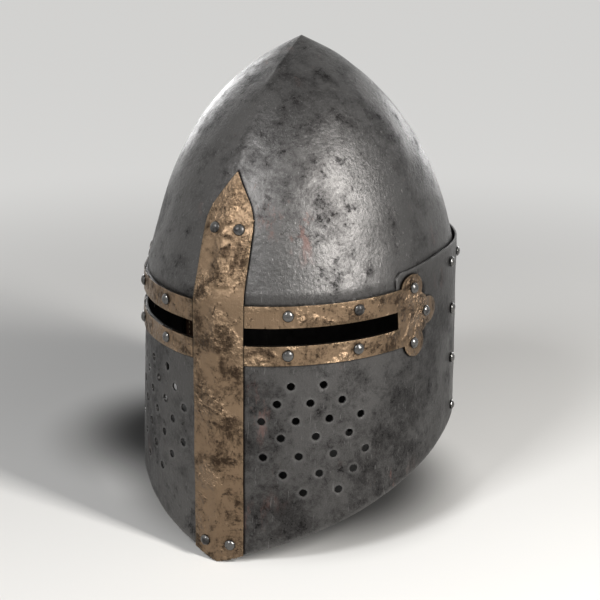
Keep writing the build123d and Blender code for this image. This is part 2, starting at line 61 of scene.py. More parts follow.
# Wall of the lower helm, as the CAD part has it
NOSE_ANGLE = math.radians(8)
CHEEK_ANGLE = math.radians(70)
BROW_HEIGHT = 212 * MM
BROW_DEPTH = 284 * MM
BROW_HALF_WIDTH = 118 * MM
BROW_SET_BACK = 5 * MM
BROW_WIDEST = 0.5845 * BROW_DEPTH
RIM_DEPTH = 271 * MM
RIM_HALF_WIDTH = 127 * MM
RIM_WIDEST = 0.5314 * RIM_DEPTH
RIM_LOW = 2.3 * MM
RIM_CLIMB_OUT = 0.22
RIM_CLIMB_BACK = 0.262
FOOT_CLIMB_OUT = 0.295
FOOT_CLIMB_BACK = 0.226
RIM_ARCH = (0.8192 * RIM_DEPTH, 50 * MM)
RIM_FOOT = 0.9225 * RIM_DEPTH

# Height at which the wall is taken to find the corners of the slanted rim
CORNER_LEVEL = 80 * MM

# Thickness of the sheets, and the heights and depths where they meet
STEEL = 1.6 * MM
BRASS = 1.5 * MM
LEATHER = 2.0 * MM
SEAT = 0.3 * MM
DOME_SINK = STEEL + 0.1 * MM
COLLAR_FOOT = 187 * MM
WAIST = 208 * MM
FACE_TOP = 200.6 * MM
SIDE_TOP = 216.5 * MM
SIDE_TOP_START = 0.5282 * BROW_DEPTH
STEP = 0.3134 * BROW_DEPTH
STEP_STRAIGHT = 5 * MM
LEVEL_END = 8 * MM
STEP_SHOULDER = (10 * MM, 213 * MM)
SEAM = 0.6092 * BROW_DEPTH
SEAM_EDGE = SEAM + 8 * MM
LAP = (SEAM_EDGE - 16 * MM, SEAM_EDGE + 3.5 * MM)

# Dome of the skull: shares of its rise, and of the waist's half width, front and back
HELM_HEIGHT = 374.5 * MM
APEX = 0.5282 * BROW_DEPTH
DOME_RISES = (0.05, 0.2, 0.333, 0.467, 0.6, 0.733, 0.844, 0.933)
DOME_HALF_WIDTHS = (0.982, 0.928, 0.872, 0.793, 0.685, 0.538, 0.373, 0.191)
DOME_FRONTS = (0.022, 0.09, 0.155, 0.237, 0.341, 0.476, 0.63, 0.818)
DOME_BACKS = (0.98, 0.919, 0.837, 0.737, 0.61, 0.475, 0.328, 0.166)
DOME_WIDEST = 0.576
COMB_FOOT = 318 * MM
COMB_FULL = 362 * MM
COMB_SLOPE = 0.3

# Sights, keel bar and bands
SIGHT_FOOT = 171.5 * MM
SIGHT_TOP = 184.9 * MM
SIGHT_END = 0.3099 * BROW_DEPTH
BAR_HALF = 19.8 * MM
SIGHT_START = BAR_HALF - 1 * MM
BAR_TIP = (0, 289 * MM)
BAR_BEND = (0.66 * BAR_HALF, 269.5 * MM)
BAR_ROUND = (0.885 * BAR_HALF, 259.3 * MM)
BAR_SHOULDER = (0.95 * BAR_HALF, 248 * MM)
BAR_JOGGLE = 15 * MM
BAR_EASE = 9 * MM
BAR_FOLD = (212 * MM, 236 * MM, 297 * MM)
BAR_FOLD_RISE = 1.3 * MM
BAR_FOLD_REACH = 8.5 * MM
BAND_FOOT = 156.9 * MM
BAND_TOP = 201 * MM
BAND_GAP = 0.05 * MM
ARM_OVERLAP = 2 * MM
CLOVER_RUN = 0.5616 * BROW_DEPTH
CLOVER_HEIGHT = 178.2 * MM
CLOVER_LOBE = 10.5 * MM
CLOVER_RISE = 21 * MM
CLOVER_OUT = 15.8 * MM
CLOVER_NECK = (14 * MM, 12 * MM)
CLOVER_ROOT = 20 * MM
CLOVER_LOBES = {(0, CLOVER_RISE): (-60, 190), (0, -CLOVER_RISE): (165, 410), (CLOVER_OUT, 0): (-95, 95)}

# Rivets and breaths
BAND_RIVET_RUNS = (0.1831 * BROW_DEPTH, 0.3697 * BROW_DEPTH)
UPPER_RIVETS = 193.8 * MM
LOWER_RIVETS = 164.6 * MM
SEAM_RIVETS = (124 * MM, 83.7 * MM)
SEAM_TOP_RIVET = 202.8 * MM
BAR_LOW_RIVET = (10.1 * MM, 15.3 * MM)
BAR_TOP_RIVET = (9.2 * MM, 251.3 * MM)
BACK_RIVET_HEIGHT = 203 * MM
BACK_RIVET_FIRST = math.radians(19)
BACK_RIVETS = 7
STRAP_HEIGHT = 165 * MM
STRAP_LIFT = 3.9 * MM
WASHER = 0.8 * MM
LINING_SLACK = 0.1 * MM
STRAP_SLACK = 1.1 * MM
BREATH_HEIGHTS = (140.6, 127.3, 114.0, 101.0, 86.2, 72.1, 57.5)
BREATH_FIRSTS = (54.5, 44.5, 33.2, 47.5, 34.5, 49.2, 64.2)
BREATH_PITCHES = (24.0, 24.3, 25.1, 25.8, 26.2, 27.0, 27.0)
BREATH_COUNTS = (2, 3, 4, 3, 4, 3, 2)

# Burrs round the breaths, as shares of their own radius: how far out and how deep they lie
LIP_OUT = 0.6
LIP_SUNK = 0.45

# Even triangles, as shares of their step: room kept beside the outlines, and the shortest edge
OUTLINE_ROOM = 0.6
SHORTEST_EDGE = 0.2

# Mesh of the skull: points round it, rows of the dome and of the collar, and where its waves fade out
SKULL_AROUND = 260
DOME_ROWS = 104
COLLAR_ROWS = 7
WAIST_FADE = 12 * MM
TIP_FADE = 9 * MM

# Waves left by the hammer, mesh of the brass, which edges are worn, and which faces get painted shade: beside
# the brass, turned in, looking down or looking sideways
WAVELENGTHS = (62 * MM, 45 * MM, 31 * MM, 24 * MM)
WAVE_SEED = 11
WORN_WIDTH = 2.5 * MM
BRASS_STEP = 1.5 * MM
SHADE_WIDTH = 1.5 * MM
LOOKS_DOWN, LOOKS_IN, LOOKS_SIDEWAYS = -0.8, -0.25, 0.45

# Padding of the lining
PAD_VOXEL = 3.2 * MM
PAD_SHRINK = 0.5 * MM
PAD_CAP = 1.6 * MM
PAD_FRAMES = 14
QUILT_ANGLE = 12
QUILT_WIDTH = 2.6 * MM
QUILT_FADE = 60 * MM
PETAL_GAP = 1.1 * MM
PETAL_SEAM = 214 * MM

# Sewing, as depths from the wall and heights
BAND_SKIN = -5.6 * MM
BAND_STITCHES = (190.5 * MM, 204.5 * MM)
STRAP_THICKNESS = 2.5 * MM
STRAP_SKINS = (-3.95 * MM, -6.55 * MM)
STRAP_SEAM = 6.6 * MM
STRAP_SEAM_TOP = -4 * MM
STRAP_SEAM_LENGTHS = (36 * MM, 98 * MM)
CROWN_SEAM = 3 * MM

# Painted shadow lines beside the keel bar are drawn this far in front of the middle and farther
IN_FRONT = 50 * MM

# Colours of the painted shade, of the soiled linen and of what is rubbed bright
SHADE_BLACK = (0.006, 0.005, 0.005, 1)
BRASS_EDGE_SHADE = (0.008, 0.006, 0.005, 1)
RIVET_FOOT_SHADE = (0.008, 0.007, 0.007, 1)
BRIGHT_STEEL = (0.3, 0.295, 0.29, 1)
BRIGHT_BRASS = (0.6, 0.45, 0.28, 1)
SOILED_LINEN = (0.4, 0.32, 0.22, 1)
BRIGHT_LINEN = (0.7, 0.63, 0.5, 1)

# Studio: the floor with its two painted shadow spots, under the helm and behind its left side, the lamps, the
# room's light and the camera
FLOOR_HALF = 30
FLOOR_SHADE = (0.7, 0.69, 0.67, 1)
FLOOR_SHADOW_BLACK = (0.02, 0.02, 0.02, 1)
PAINTED_SHADOW_SPOTS = (((-0.01, 0.02, 0), 0.08, 0.165), ((-0.14, 0.07, 0), 0.045, 0.15))
LAMP_AIM = Vector((0, 0, 0.2))
LAMPS = (
    ("Key", (1.3, -0.4, 0.92), 32, (0.2, 0.7), (1.0, 0.98, 0.95)),
    ("Fill", (-0.29, -1.35, 1.36), 20, (0.42, 0.42), (1.0, 1.0, 1.0)),
    ("Left rim", (-1.15, 1.05, 0.6), 7, (0.35, 0.7), (1.0, 1.0, 1.0)),
    ("Right rim", (0.22, 1.6, 0.45), 4, (0.3, 0.5), (1.0, 1.0, 1.0)),
)
ROOM_LIGHT = {"Color": (0.96, 0.97, 1.0, 1), "Strength": 0.12}
ROOM_SEEN = {"Color": (0.86, 0.86, 0.85, 1), "Strength": 1.0}
CAMERA_LENS, CAMERA_SENSOR = 82.51, 36
CAMERA_PLACE = (0.44415, -0.9553, 0.49913)
CAMERA_TURN = (math.radians(90 - 17.622), 0, math.radians(24.815))

# The front of the rim in the CAD's own frame
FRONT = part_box("keel_bar")[0].y + BRASS / math.cos(NOSE_ANGLE)


def length_property(name, description, size, low=0):
    """Property that holds a length, given in millimetres"""
    return bpy.props.FloatProperty(name=name, description=description, default=size * MM, min=low * MM,
                                   unit="LENGTH")


def colour_property(name, description, *colour):
    """Property that holds a colour"""
    return bpy.props.FloatVectorProperty(name=name, description=description, default=colour + (1,), size=4,
                                         subtype="COLOR")


class HelmSizes(bpy.types.PropertyGroup):
    """Sizes of the helm's details"""

    mesh_step: length_property("Mesh step", "Spacing of the points on the plates", 2.3, low=1)
    wave_depth: length_property("Hammer wave", "Depth of the shallow waves left by the hammer", 0.22)
    edge_round: length_property("Edge rounding", "Width of the filed edges of the plates", 0.35)
    breath_radius: length_property("Breath radius", "Radius of the breathing holes", 3.0)
    breath_lip: length_property("Breath lip", "Radius of the burr round each breathing hole", 0.28)
    rivet_radius: length_property("Rivet head radius", "Radius of the rivet heads", 4.35)
    rivet_rise: length_property("Rivet head rise", "Height of the rivet heads", 3.0)
    peen_radius: length_property("Peen radius", "Radius of the rivets' hammered ends", 3.1)
    peen_rise: length_property("Peen rise", "Height of the rivets' hammered ends", 1.2)
    stitch_pitch: length_property("Stitch pitch", "Distance from one stitch to the next", 4.2)
    stitch_radius: length_property("Thread radius", "Radius of the sewing thread", 0.45)
    quilt_depth: length_property("Quilting depth", "Depth of the sewn channels in the lining", 2.6)


class HelmColours(bpy.types.PropertyGroup):
    """Colours of the helm's materials"""

    steel: colour_property("Steel", "Bare blackened steel", 0.098, 0.095, 0.093)
    steel_dark: colour_property("Dark steel", "Darker blotches in the steel", 0.016, 0.015, 0.015)
    rust: colour_property("Rust", "Faint rust in the steel", 0.13, 0.045, 0.03)
    brass: colour_property("Brass", "Worn brass", 0.225, 0.156, 0.1)
    patina: colour_property("Patina", "Brown patina on the brass", 0.036, 0.024, 0.016)
    rivet: colour_property("Rivet iron", "Smooth rivet heads", 0.13, 0.127, 0.123)
    leather: colour_property("Lining leather", "Leather of the lining band", 0.26, 0.14, 0.07)
    strap: colour_property("Strap leather", "Leather of the chin strap", 0.07, 0.032, 0.016)
    linen: colour_property("Linen", "Quilted linen of the lining", 0.52, 0.45, 0.34)
    thread: colour_property("Thread", "Waxed sewing thread", 0.55, 0.44, 0.28)
    floor: colour_property("Floor", "Pale studio floor", 0.74, 0.735, 0.72)


# ---------- shape of the helm ----------

def blend(low, high, share):
    """Value between two, at a share of the way"""
    return low + (high - low) * share


class Section:
    """Level outlines of the helm: nose arcs, cheek arcs and a rounded back, at many heights"""

    def __init__(self, front, half_width, widest, back):
        rise = widest - front
        across_nose = math.sin(CHEEK_ANGLE) - math.sin(NOSE_ANGLE)
        across_cheek = 1 - math.sin(CHEEK_ANGLE)
        along_nose = math.cos(NOSE_ANGLE) - math.cos(CHEEK_ANGLE)
        along_cheek = math.cos(CHEEK_ANGLE)
        scale = across_nose * along_cheek - across_cheek * along_nose
        self.nose_radius = (half_width * along_cheek - rise * across_cheek) / scale
        self.cheek_radius = (across_nose * rise - along_nose * half_width) / scale
        self.nose_x = -self.nose_radius * math.sin(NOSE_ANGLE)
        self.nose_y = front + self.nose_radius * math.cos(NOSE_ANGLE)
        step = self.nose_radius - self.cheek_radius
        self.cheek_x = self.nose_x + step * math.sin(CHEEK_ANGLE)
        self.half_width = half_width
        self.widest = widest
        self.front = front
        self.back = back


def wall_section(height):
    """Section of the lower wall, which widens downwards"""
    share = height / BROW_HEIGHT
    return Section(blend(0, BROW_SET_BACK, share), blend(RIM_HALF_WIDTH, BROW_HALF_WIDTH, share),
                   blend(RIM_WIDEST, BROW_WIDEST, share), blend(RIM_DEPTH, BROW_DEPTH, share))


REFERENCE = wall_section(110 * MM)
NOSE_RUN = REFERENCE.nose_radius * (CHEEK_ANGLE - NOSE_ANGLE)
CHEEK_RUN = REFERENCE.cheek_radius * (QUARTER - CHEEK_ANGLE)
BACK_RUN = QUARTER * (REFERENCE.half_width + REFERENCE.back - REFERENCE.widest) / 2
HALF_RUN = NOSE_RUN + CHEEK_RUN + BACK_RUN


def outline_point(section, run, skin):
    """X and depth on a section, at a run from the keel along the reference outline"""
    away = np.abs(run)
    beyond = away > HALF_RUN
    side = np.where(run < 0, -1.0, 1.0) * np.where(beyond, -1.0, 1.0)
    away = np.where(beyond, 2 * HALF_RUN - away, away)
    nose_reach = section.nose_radius + skin
    keel = np.arcsin(np.clip(-section.nose_x / nose_reach, -1, 1))
    nose = blend(keel, CHEEK_ANGLE, np.clip(away / NOSE_RUN, 0, 1))
    cheek = blend(CHEEK_ANGLE, QUARTER, np.clip((away - NOSE_RUN) / CHEEK_RUN, 0, 1))
    turn = QUARTER * np.clip((away - NOSE_RUN - CHEEK_RUN) / BACK_RUN, 0, 1)
    cheek_reach = section.cheek_radius + skin
    on_nose, on_cheek = away < NOSE_RUN, away < NOSE_RUN + CHEEK_RUN
    x = np.where(on_nose, section.nose_x + nose_reach * np.sin(nose),
                 np.where(on_cheek, section.cheek_x + cheek_reach * np.sin(cheek),
                          (section.half_width + skin) * np.cos(turn)))
    y = np.where(on_nose, section.nose_y - nose_reach * np.cos(nose),
                 np.where(on_cheek, section.widest - cheek_reach * np.cos(cheek),
                          section.widest + (section.back - section.widest + skin) * np.sin(turn)))
    return side * x, y


def wall_point(run, height, skin=0.0):
    """Point on the lower wall, or on a skin at a distance outside it"""
    run, height = np.broadcast_arrays(np.asarray(run, float), np.asarray(height, float))
    x, y = outline_point(wall_section(height), run, skin)
    return np.stack([x, y + FRONT, height], axis=-1)


def nose_run(angle):
    """Run at an angle of the nose arc"""
    return (angle - NOSE_ANGLE) / (CHEEK_ANGLE - NOSE_ANGLE) * NOSE_RUN


def run_at_depth(depth, height):
    """Run on the left side where the wall is this far behind the front of the rim"""
    section = wall_section(height)
    nose = np.arccos(np.clip((section.nose_y - depth) / section.nose_radius, -1, 1))
    cheek = np.arccos(np.clip((section.widest - depth) / section.cheek_radius, -1, 1))
    turn = np.arcsin(np.clip((depth - section.widest) / (section.back - section.widest), 0, 1))
    cheek_run = NOSE_RUN + (cheek - CHEEK_ANGLE) / (QUARTER - CHEEK_ANGLE) * CHEEK_RUN
    back_run = NOSE_RUN + CHEEK_RUN + turn / QUARTER * BACK_RUN
    return np.where(nose < CHEEK_ANGLE, nose_run(nose), np.where(depth < section.widest, cheek_run, back_run))


def run_at_side(side, height):
    """Run on the left side where the wall is this far from the middle plane"""
    section = wall_section(height)
    return nose_run(np.arcsin((side - section.nose_x) / section.nose_radius))


def run_of_length(length, height):
    """Run on the left side at a length along the wall itself, measured at its height"""
    section = wall_section(height)
    nose = length / section.nose_radius
    left_over = length - (CHEEK_ANGLE - NOSE_ANGLE) * section.nose_radius
    cheek = left_over / section.cheek_radius
    return np.where(left_over < 0, nose / (CHEEK_ANGLE - NOSE_ANGLE) * NOSE_RUN,
                    NOSE_RUN + cheek / (QUARTER - CHEEK_ANGLE) * CHEEK_RUN)


def spline(knots, values):
    """Natural cubic spline through the values"""
    gaps = np.diff(knots)
    count = len(knots)
    matrix, target = np.eye(count), np.zeros(count)
    for i in range(1, count - 1):
        matrix[i, i - 1:i + 2] = gaps[i - 1], 2 * (gaps[i - 1] + gaps[i]), gaps[i]
        target[i] = 6 * ((values[i + 1] - values[i]) / gaps[i] - (values[i] - values[i - 1]) / gaps[i - 1])
    bends = np.linalg.solve(matrix, target)

    def at(place):
        i = np.clip(np.searchsorted(knots, place) - 1, 0, count - 2)
        gap, after, before = gaps[i], place - knots[i], knots[i + 1] - place
        curve = (bends[i] * before**3 + bends[i + 1] * after**3) / (6 * gap)
        low = (values[i] / gap - bends[i] * gap / 6) * before
        high = (values[i + 1] / gap - bends[i + 1] * gap / 6) * after
        return curve + low + high

    return at


class Dome:
    """Skull above the waist, as one smooth run of sections up to the point"""

    def __init__(self):
        waist = wall_section(WAIST)
        half = waist.half_width - DOME_SINK
        front = waist.front + DOME_SINK
        back = waist.back - DOME_SINK
        rises = np.array((0,) + DOME_RISES + (1,))
        halves = half * np.array((1,) + DOME_HALF_WIDTHS + (0,))
        fronts = blend(front, APEX, np.array((0,) + DOME_FRONTS + (1,)))
        backs = blend(APEX, back, np.array((1,) + DOME_BACKS + (0,)))
        heights = blend(WAIST, HELM_HEIGHT, rises)
        steps = np.sqrt(np.diff(heights)**2 + np.diff(halves)**2)
        knots = np.concatenate([[0], np.cumsum(steps)]) / steps.sum()
        self.height, self.half = spline(knots, heights), spline(knots, halves)
        self.front, self.back = spline(knots, fronts), spline(knots, backs)
        self.places = np.linspace(0, 1, 400)
        self.heights = self.height(self.places)

    def section(self, place):
        front, back = self.front(place), self.back(place)
        return Section(front, self.half(place), blend(front, back, DOME_WIDEST), back)

    def place_at(self, height):
        return np.interp(height, self.heights, self.places)


dome = Dome()


def keel_point(side, height, skin=0.0):
    """Point on the helm's front, under the keel bar, seen from straight ahead"""
    side, height = np.broadcast_arrays(np.asarray(side, float), np.asarray(height, float))
    shelf = FACE_TOP + SEAT
    share = np.clip((height - shelf) / BAR_JOGGLE, 0, 1)
    sink = DOME_SINK * share**2 * (3 - 2 * share)
    depths = []
    on_dome = dome.section(dome.place_at(height))
    for section, inset in ((wall_section(height), sink), (on_dome, sink - DOME_SINK)):
        reach = section.nose_radius + skin - inset
        keel = np.clip((np.abs(side) - section.nose_x) / reach, -1, 1)
        depths.append(section.nose_y - reach * np.sqrt(1 - keel**2))
    depth = np.where(height < WAIST, depths[0], depths[1])
    return np.stack([side, depth + FRONT, height], axis=-1)


def bar_point(side, height):
    """Seat of the keel bar, which bends gently over the brow and is folded more sharply than the dome"""
    rises = np.linspace(-BAR_EASE, BAR_EASE, 13)
    points = np.mean([keel_point(side, height + rise) for rise in rises], axis=0)
    fade = np.clip((points[..., 2] - BAR_FOLD[0]) / (BAR_FOLD[1] - BAR_FOLD[0]), 0, 1)
    fade *= np.clip((BAR_FOLD[2] - points[..., 2]) / (BAR_FOLD[2] - BAR_BEND[1]), 0, 1)
    points[..., 1] -= BAR_FOLD_RISE * fade * np.clip(1 - np.abs(points[..., 0]) / BAR_FOLD_REACH, 0, 1)
    return points


def comb(x, y, height):
    """Moves the flanks of the dome inwards near its point, so that front and back meet in a low comb"""
    half_width = np.abs(x).max()
    side = np.abs(x) / half_width
    fade = np.clip((height - COMB_FOOT) / (COMB_FULL - COMB_FOOT), 0, 1)
    middle = y[np.argmax(np.abs(x))]
    return np.sign(middle - y) * COMB_SLOPE * fade ** 2 * (3 - 2 * fade) * half_width * side * (1 - side)


def hammer_wave(points, depth):
    """Shallow waves over the helm, the same for sheets that lie on each other"""
    random = np.random.default_rng(WAVE_SEED)
    total = np.zeros(len(points))
    for wavelength in WAVELENGTHS:
        way = random.normal(size=3)
        way /= np.linalg.norm(way)
        total += np.sin(points @ way * (2 * math.pi / wavelength) + random.uniform(0, 6))
    return total * depth / 2


# ---------- flat outlines and sheets ----------

def stepped(points, step, closed=True):
    """Outline without repeated points and with its long edges divided"""
    points = np.asarray(points, float)
    before = np.roll(points, 1, axis=0)
    apart = np.linalg.norm(points - before, axis=1) > 0.02 * MM
    if not closed:
        apart[0] = True
    points = points[apart]
    after = np.roll(points, -1, axis=0) if closed else points[1:]
    out = []
    for start, end in zip(points, after):
        count = max(1, int(math.ceil(np.linalg.norm(end - start) / step)))
        out += [start + (end - start) * i / count for i in range(count)]
    if not closed:
        out.append(points[-1])
    return np.array(out)


def circle(centre, radius, count, stretch=1.0):
    """Flat circle, stretched sideways by a share"""
    turn = np.arange(count) * 2 * math.pi / count
    across = centre[0] + radius * stretch * np.cos(turn)
    return np.stack([across, centre[1] + radius * np.sin(turn)], axis=-1)


def within(points, loop):
    """Which points lie inside a closed outline"""
    low, high = loop.min(axis=0), loop.max(axis=0)
    near = np.all((points > low) & (points < high), axis=1)
    x, y = points[near, 0][:, None], points[near, 1][:, None]
    start, end = loop, np.roll(loop, -1, axis=0)
    crosses = (start[:, 1] > y) != (end[:, 1] > y)
    with np.errstate(divide="ignore", invalid="ignore"):
        at = start[:, 0] + (y - start[:, 1]) / (end[:, 1] - start[:, 1]) * (end[:, 0] - start[:, 0])
    result = np.zeros(len(points), bool)
    result[near] = np.count_nonzero(crosses & (x < at), axis=1) % 2 == 1
    return result


def between(points, solids, gaps):
    """Which points lie in a solid outline and in none of the gaps"""
    inside = np.any([within(points, loop) for loop in solids], axis=0)
    for loop in gaps:
        inside &= ~within(points, loop)
    return inside


def nearest(flat):
    """Tree that finds the nearest of some flat points"""
    tree = KDTree(len(flat))
    for i, (x, y) in enumerate(flat):
        tree.insert((x, y, 0), i)
    tree.balance()
    return tree


def flat_triangles(solids, gaps, step, creases=()):
    """Even triangles over the solid outlines, outside the gaps and along the creases"""
    solids = [stepped(loop, step) for loop in solids]
    gaps = [stepped(loop, step) for loop in gaps]
    loops = solids + gaps
    lines = [stepped(line, step, closed=False) for line in creases]
    low = np.min([loop.min(axis=0) for loop in loops], axis=0)
    high = np.max([loop.max(axis=0) for loop in loops], axis=0)
    rows = np.arange(low[1] + step / 2, high[1], step * math.sqrt(3) / 2)
    columns = np.arange(low[0] + step / 2, high[0], step)
    grid = np.array([(x + (i % 2) * step / 2, y) for i, y in enumerate(rows) for x in columns])
    grid = grid[between(grid, solids, gaps)]
    fixed = np.concatenate(loops + lines)
    tree = nearest(fixed)
    grid = np.array([p for p in grid if tree.find((p[0], p[1], 0))[2] > step * OUTLINE_ROOM])
    points = np.concatenate([fixed, grid])
    edges, first = [], 0
    for place, line in enumerate(loops + lines):
        count = len(line)
        last = count if place < len(loops) else count - 1
        edges += [(first + i, first + (i + 1) % count) for i in range(last)]
        first += count
    scale = 1 / step
    made = delaunay_2d_cdt([Vector(p * scale) for p in points], edges, [], 0, 1e-5)
    flat = np.array([tuple(v) for v in made[0]]) / scale
    faces = np.array([f for f in made[2] if len(f) == 3])
    faces = faces[between(flat[faces].mean(axis=1), solids, gaps)]
    used, faces = np.unique(faces, return_inverse=True)
    return without_slivers(flat[used], faces.reshape(-1, 3), step * SHORTEST_EDGE)


def without_slivers(flat, faces, reach):
    """The flat mesh with its very short edges closed up"""
    bm = bmesh.new()
    points = [bm.verts.new((x, y, 0)) for x, y in flat]
    for face in faces:
        bm.faces.new([points[i] for i in face])
    bmesh.ops.remove_doubles(bm, verts=bm.verts, dist=reach)
    bmesh.ops.recalc_face_normals(bm, faces=bm.faces)
    bm.normal_update()
    if sum(face.normal.z for face in bm.faces) < 0:
        bmesh.ops.reverse_faces(bm, faces=bm.faces)
    bm.verts.index_update()
    flat = np.array([tuple(v.co)[:2] for v in bm.verts])
    faces = np.array([[v.index for v in face.verts] for face in bm.faces if len(face.verts) == 3])
    bm.free()
    return flat, faces


def outer_edge_distance(flat, faces):
    """Distance of each point to the open edge of a flat mesh"""
    pairs = np.sort(np.concatenate([faces[:, (0, 1)], faces[:, (1, 2)], faces[:, (2, 0)]]), axis=1)
    unique, counts = np.unique(pairs, axis=0, return_counts=True)
    tree = nearest(flat[np.unique(unique[counts == 1])])
    return np.array([tree.find((x, y, 0))[2] for x, y in flat])


def new_mesh(name, points, faces, edges=()):
    mesh = bpy.data.meshes.new(name)
    mesh.from_pydata([tuple(p) for p in points], edges, [tuple(int(i) for i in f) for f in faces])
    mesh.update()
    return mesh


def new_object(name, mesh):
    obj = bpy.data.objects.new(name, mesh)
    bpy.context.scene.collection.objects.link(obj)
    return obj


def applied(obj):
    """Turns what the modifiers make into a plain mesh"""
    graph = bpy.context.evaluated_depsgraph_get()
    mesh = bpy.data.meshes.new_from_object(obj.evaluated_get(graph))
    obj.modifiers.clear()
    old = obj.data
    obj.data = mesh
    bpy.data.meshes.remove(old)
    mesh.name = obj.name
    return obj


def smooth(obj, angle=38):
    obj.data.shade_smooth()
    obj.data.set_sharp_from_angle(angle=math.radians(angle))


def directions(point_at, u, v, nudge):
    """Outward directions of a surface at some flat points"""
    along = point_at(u + nudge, v) - point_at(u - nudge, v)
    upward = point_at(u, v + nudge) - point_at(u, v - nudge)
    normals = np.cross(along, upward).reshape(-1, 3)
    return normals / np.linalg.norm(normals, axis=1)[:, None]


def sheet(name, solids, gaps, point_at, thickness, sizes, outwards=False, step=None, creases=(), grime=None):
    """Sheet cut to flat outlines, bent over the helm and given its thickness"""
    flat, faces = flat_triangles(solids, gaps, step or sizes.mesh_step, creases)
    points = point_at(flat[:, 0], flat[:, 1])
    normals = directions(point_at, flat[:, 0], flat[:, 1], 0.05 * MM)
    points = points + normals * hammer_wave(points, sizes.wave_depth)[:, None]
    obj = new_object(name, new_mesh(name, points, faces))
    store(obj, "worn", np.clip(1 - outer_edge_distance(flat, faces) / WORN_WIDTH, 0, 1))
    # painted shade beside the brass, which the steel paints near black
    if grime:
        store(obj, "grime", grime(flat))
    return thickened(obj, thickness, outwards, sizes.edge_round)


def store(obj, name, values):
    """Number on every point, for the materials to read"""
    attribute = obj.data.attributes.new(name, "FLOAT", "POINT")
    attribute.data.foreach_set("value", np.asarray(values, float))


def outwardness(obj, height, rise):
    """How far each point looks away from a point on the helm's axis, whose heights count by a share"""
    away = (coordinates(obj.data) - (0, APEX + FRONT, height)) * (1, 1, rise)
    away /= np.linalg.norm(away, axis=1)[:, None]
    return np.sum(away * coordinates(obj.data, "vector"), axis=1)


def mark_shade_inside_and_under(obj):
    """Marks the points whose faces look into the helm or straight down, which the steel paints near black as
    painted shade
    """
    downwards = coordinates(obj.data, "vector")[:, 2] < LOOKS_DOWN
    store(obj, "inside", (outwardness(obj, HELM_HEIGHT / 2, 0.5) < LOOKS_IN) | downwards)


def mark_shaded_edges(obj):
    """Marks the points on the narrow faces round a sheet, which the brass paints near black as painted shade
    """
    store(obj, "rim", np.abs(outwardness(obj, 0, 0)) < LOOKS_SIDEWAYS)


def filed(obj, width, segments, degrees):
    """Rounds the edges that are sharper than an angle"""
    bevel = obj.modifiers.new("Filed edge", "BEVEL")
    bevel.width = width
    bevel.segments = segments
    bevel.limit_method = "ANGLE"
    bevel.angle_limit = math.radians(degrees)
    applied(obj)


def thickened(obj, thickness, outwards, edge_round):
    """Gives a sheet its thickness and filed edges"""
    solid = obj.modifiers.new("Thickness", "SOLIDIFY")
    solid.thickness = thickness
    solid.offset = 1 if outwards else -1
    filed(obj, edge_round, segments=2, degrees=55)
    smooth(obj)
    return obj


def joined(name, objects):
    """One object from several"""
    bm = bmesh.new()
    for obj in objects:
        bm.from_mesh(obj.data)
    mesh = bpy.data.meshes.new(name)
    bm.to_mesh(mesh)
    bm.free()
    for obj in objects:
        old = obj.data
        bpy.data.objects.remove(obj)
        bpy.data.meshes.remove(old)
    return new_object(name, mesh)


def cad_copy(node):
    """Merged copy of a CAD piece's loose triangles"""
    bm = bmesh.new()
    bm.from_mesh(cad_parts[node].data)
    bmesh.ops.remove_doubles(bm, verts=bm.verts, dist=0.002 * MM)
    mesh = bpy.data.meshes.new(node + "_dressed")
    bm.to_mesh(mesh)
    bm.free()
    return new_object(node + "_dressed", mesh)


def coordinates(mesh, field="co"):
    """Places of a mesh's points, or their normals when the field is vector"""
    values = np.empty(len(mesh.vertices) * 3)
    source = mesh.vertices if field == "co" else mesh.vertex_normals
    source.foreach_get(field, values)
    return values.reshape(-1, 3)


def moved(obj, points):
    obj.data.vertices.foreach_set("co", points.ravel())
    obj.data.update()


def stuff(obj):
    """Swells the padded piece by cloth pressure, with a cap on how far a point may move"""
    start = coordinates(obj.data)
    normals = coordinates(obj.data, "vector")
    moved(obj, start - normals * PAD_SHRINK)
    cloth = obj.modifiers.new("Stuffing", "CLOTH")
    cloth.settings.quality = 4
    cloth.settings.use_pressure = True
    cloth.settings.uniform_pressure_force = 4
    cloth.settings.effector_weights.gravity = 0
    scene = bpy.context.scene
    for number in range(1, PAD_FRAMES + 1):
        scene.frame_set(number)
    applied(obj)
    scene.frame_set(1)
    shift = coordinates(obj.data) - start
    length = np.linalg.norm(shift, axis=1)[:, None]
    moved(obj, start + shift * np.minimum(1, PAD_CAP / np.maximum(length, 1e-9)))


def quilt(obj, depth):
    """Presses sewn channels that run up to the crown into the padded piece"""
    points, normals = coordinates(obj.data), coordinates(obj.data, "vector")
    x, y = points[:, 0], points[:, 1] - APEX - FRONT
    spacing = math.radians(QUILT_ANGLE)
    turn = np.arctan2(x, -y) / spacing
    reach = np.hypot(x, y)
    off = np.abs(turn - np.round(turn)) * spacing * reach
    rows = np.abs(points[:, 2] - PETAL_SEAM)
    press = np.maximum(np.exp(-(off / QUILT_WIDTH)**2) * np.clip(reach / QUILT_FADE, 0, 1),
                       np.exp(-(rows / QUILT_WIDTH)**2))
    sideways = np.abs(normals[:, 0] * x + normals[:, 1] * y) / reach
    moved(obj, points - normals * (depth * 0.5 * press * (sideways > 0.3))[:, None])
    store(obj, "weave_across", turn * spacing * 0.1)


def dress(obj, material, slot, *nodes, body=HELM):
    """Gives a finished piece its material, hides the CAD nodes it replaces and puts it on the body it rides
    on; the slot is not used
    """
    obj.data.materials.clear()
    obj.data.materials.append(material)
    if nodes:
        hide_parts(*nodes)
    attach(obj, body)


# ---------- outlines of the helm's own pieces ----------

def rim_heights(runs):
    """Height of the slanted rim of the face plate above the ground, at runs of the wall"""
    heights = np.zeros_like(runs)
    for _ in range(8):
        x, y = outline_point(wall_section(heights), runs, 0.0)
        heights = RIM_LOW + RIM_CLIMB_OUT * np.abs(x) + RIM_CLIMB_BACK * y
    return heights


